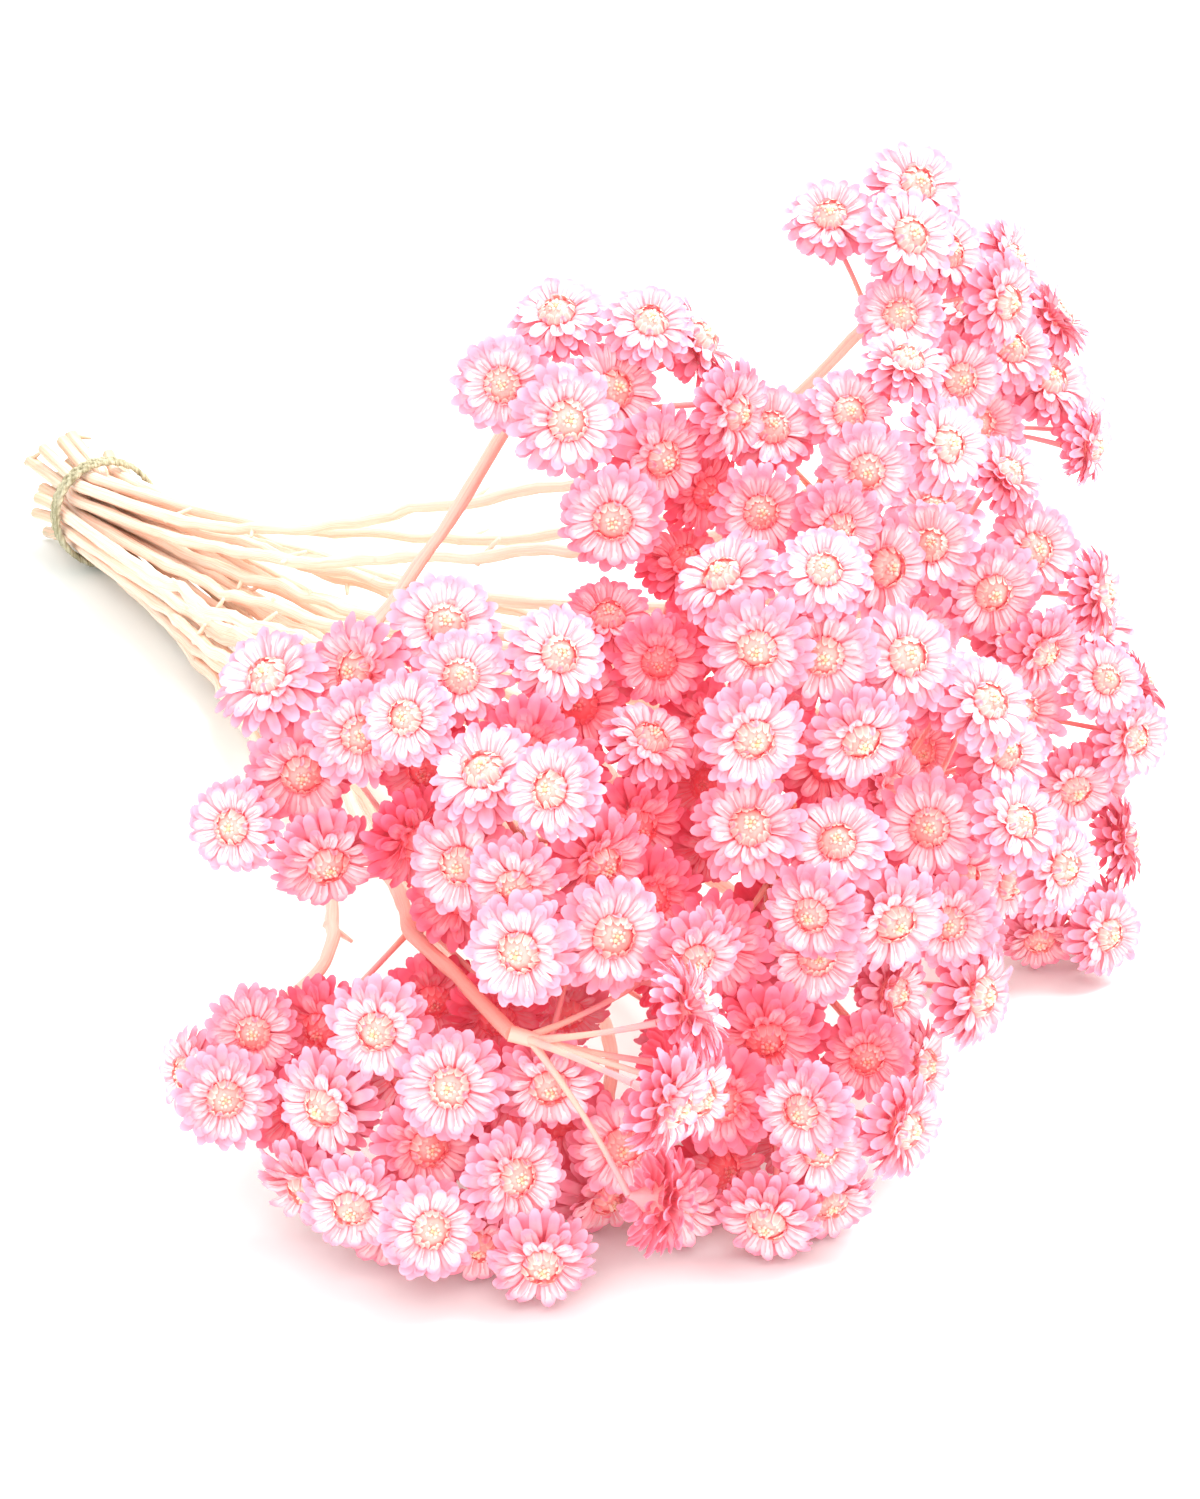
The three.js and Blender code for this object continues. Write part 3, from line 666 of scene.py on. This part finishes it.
# Each row from the disc outwards: its shapes and count, then base radius, base height, length
# and width in millimetres, lift when open and when shut and its swing in radians, and tone.
HEAD_ROWS = (
    (cupped_scales, 6, 2.2, 0.95, 1.9, 1.3, 1.0, 1.35, 0.35, 0.1),
    (open_bracts, 13, 2.2, 0.9, 4.0, 1.95, 0.56, 1.15, 0.18, 0.0),
    (open_bracts, 15, 2.15, 0.5, 4.75, 2.0, 0.4, 0.88, 0.15, 0.5),
    (back_bracts, 17, 2.2, 0.0, 5.35, 1.95, 0.25, 0.5, 0.12, 0.75),
    (back_bracts, 16, 2.1, -0.5, 5.1, 1.95, 0.08, 0.22, 0.12, 0.9),
    (back_bracts, 14, 1.95, -1.1, 4.3, 1.9, -0.08, 0.0, 0.14, 1.0),
    (back_bracts, 10, 1.6, -1.85, 2.9, 1.7, -0.3, -0.3, 0.15, 1.1),
)
DISC_RING = {
    "Count": 15, "Base radius": 2.42 * MM, "Base height": 0.75 * MM, "Length": 2.3 * MM,
    "Width": 1.15 * MM, "Lift": 1.42, "Lift swing": 0.1, "Tone": -1.0,
}
BRACT_CODE = 0
DISC_CODE = 1
STALK_CODE = 2


def place_row(tree, fixed, linked):
    """Adds a row of bracts to a tree, with plain values and sockets by name"""
    row = tree.nodes.new("GeometryNodeGroup")
    row.node_tree = bract_row
    for label, value in fixed.items():
        row.inputs[label].default_value = value
    for label, socket in linked.items():
        tree.links.new(socket, row.inputs[label])
    return row.outputs["Geometry"]


def head_tree():
    """A whole head that faces Z: rows of bracts, the disc with its florets, and the cup"""
    tree, given = start_tree("flower head", {
        "Shut": NUMBER, "Seed": WHOLE, "Florets": SHAPES, "Scales": SHAPES, "Floret count": WHOLE,
    })
    parts = []
    for k, (shapes, count, radius, height, length, width, opened, shut, swing, tone) in enumerate(HEAD_ROWS):
        lift = calc(tree, "MULTIPLY_ADD", given["Shut"], shut - opened, opened)
        seed = calc(tree, "MULTIPLY_ADD", given["Seed"], 31.0, 7.0 * k)
        fixed = {
            "Shapes": shapes, "Count": count, "Base radius": radius * MM, "Base height": height * MM,
            "Length": length * MM, "Width": width * MM, "Lift swing": swing,
            "Offset": 0.5 * (k % 2), "Tone": tone,
        }
        parts.append(place_row(tree, fixed, {"Lift": lift, "Seed": seed}))
    bracts = keep(tree, join(tree, *parts), "finish", BRACT_CODE, "INT", "FACE")
    dome = put(tree, "GeometryNodeMeshUVSphere", 16, 8, 1.0)
    squash = put(tree, "ShaderNodeCombineXYZ", DISC_RADIUS * 0.95, DISC_RADIUS * 0.95, DISC_HEIGHT * 0.95)
    dome = put(tree, "GeometryNodeTransform", dome, (0, 0, DISC_FOOT), (0, 0, 0), squash)
    dome = keep(tree, dome, "disc_place", 1.0)
    points = put(tree, "GeometryNodePoints", given["Floret count"])
    index = put(tree, "GeometryNodeInputIndex")
    share = calc(tree, "DIVIDE", calc(tree, "ADD", index, 0.4), given["Floret count"])
    out = calc(tree, "SQRT", share)
    turn = calc(tree, "MULTIPLY", index, GOLDEN_ANGLE)
    lean = calc(tree, "MULTIPLY", out, FLORET_PATCH)
    flat = calc(tree, "SINE", lean)
    normal = put(tree, "ShaderNodeCombineXYZ", calc(tree, "MULTIPLY", flat, calc(tree, "COSINE", turn)),
                 calc(tree, "MULTIPLY", flat, calc(tree, "SINE", turn)), calc(tree, "COSINE", lean))
    reach = vector_calc(tree, "MULTIPLY", normal, (DISC_RADIUS * 0.9, DISC_RADIUS * 0.9, DISC_HEIGHT * 0.88))
    place = vector_calc(tree, "ADD", reach, (0, 0, DISC_FOOT))
    points = put(tree, "GeometryNodeSetPosition", points, None, place)
    points = keep(tree, points, "disc_place", out)
    stand = vector_calc(tree, "MULTIPLY_ADD", normal, (1, 1, 1), (0, 0, 0.35))
    upright = put(tree, "FunctionNodeAlignRotationToVector", None, 1.0, stand, axis="Z")
    size = calc(tree, "MULTIPLY", drawn(tree, 0.8, 1.2, given["Seed"]), FLORET_WIDTH)
    bead = put(tree, "GeometryNodeCollectionInfo", given["Florets"], True, True)
    bead = put(tree, "GeometryNodeInstanceOnPoints", points, None, bead, True, 0, upright, size)
    disc = join(tree, dome, bead)
    disc = put(tree, "GeometryNodeRealizeInstances", disc)
    ring = place_row(tree, DISC_RING, {"Shapes": given["Scales"], "Seed": given["Seed"]})
    disc = join(tree, disc, ring)
    disc = keep(tree, disc, "finish", DISC_CODE, "INT", "FACE")
    spine = put(tree, "GeometryNodeCurvePrimitiveLine", (0, 0, NECK_HEIGHT), (0, 0, CUP_TOP))
    spine = put(tree, "GeometryNodeResampleCurve", spine, None, CUP_STEPS)
    share = tree.nodes.new("GeometryNodeSplineParameter").outputs["Factor"]
    girth = between(tree, share, 0.0, 0.9, NECK_RADIUS, CUP_RADIUS)
    profile = put(tree, "GeometryNodeCurvePrimitiveCircle", CUP_SIDES, 1.0)
    cup = put(tree, "GeometryNodeCurveToMesh", spine, profile, girth, True)
    cup = keep(tree, cup, "finish", STALK_CODE, "INT", "FACE")
    whole = join(tree, bracts, disc, cup)
    return end_tree(tree, put(tree, "GeometryNodeSetShadeSmooth", whole))


head_grower = head_tree()
HEAD_SHUT = (0.0, 0.1, 0.2, 0.28, 0.05, 0.4, 0.15, 0.55, 0.8)
HEAD_WEIGHTS = (4, 4, 4, 3, 4, 2.5, 4, 2, 1)
HEAD_SEED = 11
heads = []
for kind, shut in enumerate(HEAD_SHUT):
    seed_object = plain_mesh_object("seed", [], [], [])
    mesh = grown(f"head_{kind}", seed_object, head_grower, {
        "Shut": shut, "Seed": HEAD_SEED + kind, "Florets": florets, "Scales": cupped_scales,
        "Floret count": FLORETS,
    })
    head = bpy.data.objects.new(f"head_{kind}", mesh)
    bpy.context.scene.collection.objects.link(head)
    heads.append(head)
head_shelf = shelf("heads", *heads)

# The sprays: at the top of each stem a short axis gives off thin bowed stalks, one to a head.
# Stalks that reach further out leave it lower down, as on the solids that they stand for.
AXIS_LENGTH = 7 * MM
AXIS_SHARES = (-0.08, 0.5, 1.0)
AXIS_RADII = (1.12 * MM, 0.95 * MM, 0.6 * MM)
STALK_RADII = (0.62 * MM, 0.46 * MM, 0.40 * MM, 0.42 * MM, 0.5 * MM)
WIDEST_SPREAD = 17 * MM
LOWEST_STALK = 1.6 * MM
HIGHEST_STALK = 6.2 * MM
STALK_BOW = 0.144
SHELTER_REACH = 40 * MM
LEAST_COVER = 0.1
FULL_COVER = 3.2
SAME_HEAD = 0.1 * MM
SPRAY_SEED = 27


def shade_under_neighbours(head, others):
    """How much painted shade a head gets: from 0 in the open to 1 where neighbours stand over it, out along
    the way it faces
    """
    place, faces, _ = head
    cover = 0.0
    for other, _, _ in others:
        reach = other - place
        distance = reach.length
        if SAME_HEAD < distance < SHELTER_REACH:
            over = max(reach.dot(faces) / distance - LEAST_COVER, 0.0)
            cover += over * (1 - distance / SHELTER_REACH)
    return min(cover / FULL_COVER, 1.0) ** 2


def stalk_root(base, facing, place):
    """Where a head's stalk leaves the axis"""
    reach = place - base
    lateral = (reach - facing * reach.dot(facing)).length
    outward = min(lateral / WIDEST_SPREAD, 1)
    return base + facing * (HIGHEST_STALK + (LOWEST_STALK - HIGHEST_STALK) * outward)


BRACT_BASE = (1.0, 0.37, 0.40, 1)
BRACT_WHITE = (1.0, 0.79, 0.81, 1)
BRACT_TIP = (1.0, 0.32, 0.45, 1)
BRACT_RIM = (1.0, 0.34, 0.46, 1)
# Coral for the bract underside: partly its pinker back, partly painted shade.
BRACT_BACK_AND_SHADE = (1.0, 0.17, 0.24, 1)
BRACT_PALE_TIP = (1.0, 0.54, 0.68, 1)
# Pink multiplied in for each head's random tone and for the painted shade under neighbouring heads.
TONE_AND_PAINTED_SHADE = (0.97, 0.37, 0.46, 1)
# Painted glow: coral light given off by bracts and disc, which are no lamps, in place of light shining
# through them.
PAINTED_CORAL_GLOW = (1.0, 0.16, 0.22, 1)
FOOT_GLOW = 0.17
TIP_GLOW = 0.05


def split(tree, vector):
    """The three parts of a vector"""
    return put(tree, "ShaderNodeSeparateXYZ", vector).node.outputs


def bract_finish():
    """Papery bract: coral foot, white middle, mauve-pink tip and rim, pinker in the outer rows; a coral
    underside that is partly its pinker back and partly painted shade, painted shade under neighbouring
    heads, and a painted coral glow
    """
    material, tree, shader = finish("papery bract", 0.38)
    place = attribute(tree, "bract_place", "Vector")
    along, across, under = split(tree, place)
    edge = calc(tree, "ABSOLUTE", across)
    tone = attribute(tree, "row_tone")
    head_tone = attribute(tree, "head_tone")
    streak, mottle = fibre(tree, place, 2.0, 7.0)
    colour = blend_colours(tree, between(tree, along, 0.0, 0.34), BRACT_BASE, BRACT_WHITE)
    tipward = calc(tree, "MULTIPLY_ADD", tone, 0.22, along)
    colour = blend_colours(tree, between(tree, tipward, 0.66, 1.0), colour, BRACT_TIP)
    colour = blend_colours(tree, between(tree, edge, 0.6, 1.0, 0.0, 0.5), colour, BRACT_RIM)
    pinker = calc(tree, "MULTIPLY", between(tree, tone, 0.1, 1.1), 0.75)
    colour = blend_colours(tree, pinker, colour, BRACT_TIP)
    pale = calc(tree, "MULTIPLY", between(tree, along, 0.72, 1.0), between(tree, tone, 0.2, 0.8, 0.1, 0.6))
    colour = blend_colours(tree, pale, colour, BRACT_PALE_TIP)
    colour = blend_colours(tree, between(tree, streak, 0.5, 0.85, 0.0, 0.12), colour, BRACT_RIM)
    # Coral underside: partly the bract's pinker back, partly painted shade.
    colour = blend_colours(tree, between(tree, under, 0.0, 1.0, 0.0, 0.75), colour, BRACT_BACK_AND_SHADE)
    colour = blend_colours(tree, calc(tree, "MULTIPLY", head_tone, 0.25), colour, TONE_AND_PAINTED_SHADE, "MULTIPLY")
    # Painted shade: bracts of heads that neighbours stand over are darkened pinker.
    painted_shade = calc(tree, "MULTIPLY", attribute(tree, "shelter_shade"), calc(tree, "MULTIPLY_ADD", tone, 0.3, 0.65))
    colour = blend_colours(tree, painted_shade, colour, TONE_AND_PAINTED_SHADE, "MULTIPLY")
    tree.links.new(colour, shader.inputs["Base Color"])
    tree.links.new(between(tree, mottle, 0.3, 0.7, 0.3, 0.5), shader.inputs["Roughness"])
    # Painted glow: coral light from the bract, strongest at its foot, which lightens the cracks between
    # bracts.
    shader.inputs["Emission Color"].default_value = PAINTED_CORAL_GLOW
    tree.links.new(between(tree, along, 0.05, 0.5, FOOT_GLOW, TIP_GLOW), shader.inputs["Emission Strength"])
    raise_bumps(tree, shader, streak, 0.05 * MM, 0.3)
    return material


DISC_CREAM = (1.0, 0.76, 0.64, 1)
DISC_PINK = (1.0, 0.46, 0.41, 1)
DISC_GREEN = (0.96, 0.78, 0.50, 1)
DISC_DOT = (0.55, 0.48, 0.22, 1)
DISC_GLOW = 0.12


def disc_finish():
    """Disc of dried florets: pink and cream round the side, greenish cream in the middle, with painted shade
    under neighbouring heads and a faint painted coral glow
    """
    material, tree, shader = finish("disc floret", 0.5, 0.15, 0.6 * MM)
    along, across, _ = split(tree, attribute(tree, "bract_place", "Vector"))
    out = attribute(tree, "disc_place")
    scale = between(tree, attribute(tree, "row_tone"), -0.5, -0.4, 1.0, 0.0)
    object_place = tree.nodes.new("ShaderNodeTexCoord").outputs["Object"]
    streak, mottle = fibre(tree, object_place, 900.0, 900.0)
    colour = blend_colours(tree, between(tree, out, 0.3, 0.75), DISC_GREEN, DISC_CREAM)
    colour = blend_colours(tree, between(tree, out, 0.1, 0.3), DISC_DOT, colour)
    colour = blend_colours(tree, between(tree, out, 0.85, 1.0, 0.0, 0.9), colour, DISC_PINK)
    rim = between(tree, calc(tree, "ABSOLUTE", across), 0.5, 1.0, 0.0, 0.75)
    pale = calc(tree, "MAXIMUM", rim, between(tree, along, 0.72, 1.0))
    stripe = blend_colours(tree, pale, DISC_PINK, DISC_CREAM)
    colour = blend_colours(tree, scale, colour, stripe)
    colour = blend_colours(tree, between(tree, mottle, 0.45, 0.7, 0.0, 0.3), colour, DISC_PINK)
    # Painted shade: the disc of a head that neighbours stand over is darkened pinker.
    colour = blend_colours(tree, attribute(tree, "shelter_shade"), colour, TONE_AND_PAINTED_SHADE, "MULTIPLY")
    tree.links.new(colour, shader.inputs["Base Color"])
    tree.links.new(between(tree, streak, 0.3, 0.7, 0.4, 0.6), shader.inputs["Roughness"])
    # Painted glow: faint coral light from the disc.
    shader.inputs["Emission Color"].default_value = PAINTED_CORAL_GLOW
    shader.inputs["Emission Strength"].default_value = DISC_GLOW
    raise_bumps(tree, shader, streak, 0.15 * MM, 0.5)
    return material


STALK_PEACH = (0.96, 0.46, 0.37, 1)
STALK_PINK = (0.93, 0.34, 0.36, 1)


def stalk_finish():
    """Head stalk and cup: peach where it leaves the axis and pink under the head"""
    material, tree, shader = finish("blushed stalk", 0.5, 0.12, 0.6 * MM)
    object_place = tree.nodes.new("ShaderNodeTexCoord").outputs["Object"]
    streak, mottle = fibre(tree, object_place, 500.0, 500.0)
    pink = calc(tree, "ADD", attribute(tree, "up_stalk"), between(tree, mottle, 0.35, 0.7, -0.3, 0.3))
    colour = blend_colours(tree, between(tree, pink, 0.1, 1.0), STALK_PEACH, STALK_PINK)
    tree.links.new(colour, shader.inputs["Base Color"])
    tree.links.new(between(tree, streak, 0.3, 0.7, 0.42, 0.62), shader.inputs["Roughness"])
    raise_bumps(tree, shader, streak, 0.12 * MM, 0.4)
    return material


def spray_tree():
    """Sets the heads on their points, sweeps the axis and stalks, and gives each its finish"""
    tree, given = start_tree("spray", {
        "Geometry": GEOMETRY, "Heads": SHAPES, "Stalk sides": WHOLE, "Stalk steps": WHOLE,
        "Bract finish": FINISH, "Disc finish": FINISH, "Stalk finish": FINISH,
    })
    facing = read(tree, "facing", "FLOAT_VECTOR")
    turned = put(tree, "FunctionNodeAlignRotationToVector", None, 1.0, facing, axis="Z")
    spin = put(tree, "ShaderNodeCombineXYZ", 0.0, 0.0, read(tree, "spin"))
    turned = put(tree, "FunctionNodeRotateRotation", turned, spin, rotation_space="LOCAL")
    shapes = put(tree, "GeometryNodeCollectionInfo", given["Heads"], True, True)
    dots = put(tree, "GeometryNodeMeshToPoints", given["Geometry"], read(tree, "is_head", "BOOLEAN"))
    blooms = put(tree, "GeometryNodeInstanceOnPoints", dots, None, shapes, True,
                 read(tree, "kind", "INT"), turned, read(tree, "size"))
    line = put(tree, "GeometryNodeMeshToCurve", given["Geometry"])
    line = put(tree, "GeometryNodeCurveSplineType", line, spline_type="CATMULL_ROM")
    line = put(tree, "GeometryNodeResampleCurve", line, None, given["Stalk steps"])
    profile = put(tree, "GeometryNodeCurvePrimitiveCircle", given["Stalk sides"], 1.0)
    stalks = put(tree, "GeometryNodeCurveToMesh", line, profile, read(tree, "stalk_radius"), True)
    stalks = keep(tree, stalks, "finish", STALK_CODE, "INT", "FACE")
    stalks = put(tree, "GeometryNodeSetShadeSmooth", stalks)
    whole = put(tree, "GeometryNodeRealizeInstances", join(tree, blooms, stalks))
    whole = put(tree, "GeometryNodeSetMaterial", whole, None, given["Bract finish"])
    for code, label in ((DISC_CODE, "Disc finish"), (STALK_CODE, "Stalk finish")):
        told = read(tree, "finish", "INT")
        chosen = put(tree, "FunctionNodeCompare", told, code, data_type="INT", operation="EQUAL")
        whole = put(tree, "GeometryNodeSetMaterial", whole, chosen, given[label])
    return end_tree(tree, whole)


def spray_skeleton(number, places, draw):
    """The points and lines of a spray, with what each head and stalk needs written on them"""
    base, facing = courses[number]
    rows = []
    edges = []

    def add(point, radius, up, head=None):
        rows.append((point, radius, up, head))
        return len(rows) - 1

    last = None
    for share, radius in zip(AXIS_SHARES, AXIS_RADII):
        here = add(base + facing * AXIS_LENGTH * share, radius, 0.0)
        if last is not None:
            edges.append((last, here))
        last = here
    for place, faces, size, shelter_shade in places:
        root = stalk_root(base, facing, place)
        neck = place + faces * NECK_HEIGHT * size
        span = (neck - root).length
        last = None
        for k, radius in enumerate(STALK_RADII):
            share = k / (len(STALK_RADII) - 1)
            way = root.lerp(neck, share)
            bow = facing * (STALK_BOW * span * share * (1 - share))
            here = add(way + bow, radius, share)
            if last is not None:
                edges.append((last, here))
            last = here
        kind = draw.choices(range(len(HEAD_SHUT)), weights=HEAD_WEIGHTS)[0]
        tone = draw.random() ** 2
        add(place, 0.0, 1.0, (faces, draw.uniform(0, math.tau), size, kind, tone, shelter_shade))
    skeleton = plain_mesh_object("skeleton", [row[0] for row in rows], edges, [])
    mesh = skeleton.data
    write_attribute(mesh, "stalk_radius", "FLOAT", [row[1] for row in rows])
    write_attribute(mesh, "up_stalk", "FLOAT", [row[2] for row in rows])
    blank = (Vector((0, 0, 1)), 0.0, 0.0, 0, 0.0, 0.0)
    told = [row[3] or blank for row in rows]
    write_attribute(mesh, "is_head", "BOOLEAN", [row[3] is not None for row in rows])
    kinds = (("facing", "FLOAT_VECTOR"), ("spin", "FLOAT"), ("size", "FLOAT"), ("kind", "INT"),
             ("head_tone", "FLOAT"), ("shelter_shade", "FLOAT"))
    for (name, data_type), values in zip(kinds, zip(*told)):
        write_attribute(mesh, name, data_type, values)
    return skeleton


spray_grower = spray_tree()
papery = bract_finish()
dried_floret = disc_finish()
# The painted glow is left out of light sampling.
for glowing in (papery, dried_floret):
    glowing.cycles.emission_sampling = "NONE"
blushed_stalk = stalk_finish()
head_draw = random.Random(SPRAY_SEED)
for number in SPRIGS:
    # Painted shade: how far neighbours stand over each head.
    places = [(*head, shade_under_neighbours(head, all_heads)) for head in spray_heads[number]]
    skeleton = spray_skeleton(number, places, head_draw)
    mesh = grown(f"blooms_{number:02d}_fine", skeleton, spray_grower, {
        "Heads": head_shelf, "Stalk sides": 7, "Stalk steps": 8,
        "Bract finish": papery, "Disc finish": dried_floret, "Stalk finish": blushed_stalk,
    })
    show(f"spray_{number:02d}", mesh, "bloom", f"blooms_{number:02d}")

# The tie: three close turns of two-ply twine round the waist of the bunch, drawn tight on the
# stems, with both ends tucked in under the turns.
TWINE_RADIUS = 0.72 * MM
TWINE_TURNS = 3.1
TWINE_PITCH = 1.55 * MM
TWINE_LAY = 4.5 * MM
TWINE_STEPS = 300
TUCK_FROM = 0.965
TUCK_DEPTH = 2.2
TWINE_SHADE = (0.30, 0.27, 0.15, 1)
TWINE_KHAKI = (0.60, 0.55, 0.37, 1)
TWINE_PALE = (0.74, 0.70, 0.52, 1)


def twine_finish():
    """Khaki garden twine: two plies of rough fibre"""
    material, tree, shader = finish("garden twine", 0.85)
    object_place = tree.nodes.new("ShaderNodeTexCoord").outputs["Object"]
    streak, mottle = fibre(tree, object_place, 700.0, 2200.0)
    colour = blend_colours(tree, between(tree, streak, 0.35, 0.65), TWINE_SHADE, TWINE_KHAKI)
    colour = blend_colours(tree, between(tree, mottle, 0.4, 0.7, 0.0, 0.5), colour, TWINE_PALE)
    tree.links.new(colour, shader.inputs["Base Color"])
    tree.links.new(between(tree, streak, 0.3, 0.7, 0.75, 0.95), shader.inputs["Roughness"])
    raise_bumps(tree, shader, streak, 0.3 * MM, 0.9)
    return material


def twine_tree():
    """A coil of twisted cord whose ends sink in under the turns"""
    tree, given = start_tree("twine coil", {
        "Geometry": GEOMETRY, "Turns": NUMBER, "Pitch": NUMBER, "Coil radius": NUMBER, "Cord radius": NUMBER,
        "Lay": NUMBER, "Steps": WHOLE, "Finish": FINISH,
    })
    line = put(tree, "GeometryNodeCurvePrimitiveLine", (0, 0, 0), (1, 0, 0))
    line = put(tree, "GeometryNodeResampleCurve", line, None, given["Steps"])
    share = tree.nodes.new("GeometryNodeSplineParameter").outputs["Factor"]
    line = keep(tree, line, "wound", share)
    wound = read(tree, "wound")
    angle = calc(tree, "MULTIPLY", calc(tree, "MULTIPLY", wound, given["Turns"]), math.tau)
    ends = calc(tree, "MULTIPLY", calc(tree, "ABSOLUTE", calc(tree, "SUBTRACT", wound, 0.5)), 2.0)
    depth = calc(tree, "MULTIPLY", given["Cord radius"], TUCK_DEPTH)
    tuck = calc(tree, "MULTIPLY", between(tree, ends, TUCK_FROM, 1.0), depth)
    radius = calc(tree, "SUBTRACT", given["Coil radius"], tuck)
    width = calc(tree, "MULTIPLY", given["Turns"], given["Pitch"])
    along = calc(tree, "MULTIPLY", calc(tree, "SUBTRACT", wound, 0.5), width)
    sideways = calc(tree, "MULTIPLY", calc(tree, "SINE", angle), radius)
    inward = calc(tree, "MULTIPLY", radius, -1.0)
    upward = calc(tree, "MULTIPLY", calc(tree, "COSINE", angle), inward)
    place = put(tree, "ShaderNodeCombineXYZ", along, sideways, upward)
    line = put(tree, "GeometryNodeSetPosition", line, None, place)
    run = calc(tree, "MULTIPLY", angle, given["Coil radius"])
    twist = calc(tree, "DIVIDE", calc(tree, "MULTIPLY", run, math.tau), given["Lay"])
    line = put(tree, "GeometryNodeSetCurveTilt", line, None, twist)
    profile = put(tree, "GeometryNodeCurvePrimitiveCircle", 12, 1.0)
    spot = put(tree, "GeometryNodeInputPosition")
    lobe = calc(tree, "ABSOLUTE", split(tree, spot)["X"])
    fat = calc(tree, "MULTIPLY_ADD", lobe, 0.42, 0.58)
    profile = put(tree, "GeometryNodeSetPosition", profile, None, scaled(tree, spot, fat))
    cord = put(tree, "GeometryNodeCurveToMesh", line, profile, given["Cord radius"], True)
    cord = put(tree, "GeometryNodeRealizeInstances", cord)
    cord = put(tree, "GeometryNodeSetShadeSmooth", cord)
    return end_tree(tree, put(tree, "GeometryNodeSetMaterial", cord, None, given["Finish"]))


coil_radius = (tie_high.y - tie_low.y) / 2 - TWINE_RADIUS
core = plain_mesh_object("core", [], [], [])
mesh = grown("tie_fine", core, twine_tree(), {
    "Turns": TWINE_TURNS, "Pitch": TWINE_PITCH, "Coil radius": coil_radius, "Cord radius": TWINE_RADIUS,
    "Lay": TWINE_LAY, "Steps": TWINE_STEPS, "Finish": twine_finish(),
})
mesh.transform(Matrix.Translation(waist))
show("twine_tie", mesh, "twine", "tie")

# The shapes that were only set out by the trees are cleared away, since the finished meshes
# hold all that is seen of them.
leftovers = [stub, *heads]
for held in (open_bracts, back_bracts, cupped_scales, florets):
    leftovers.extend(held.objects)
for leftover in leftovers:
    bpy.data.objects.remove(leftover)
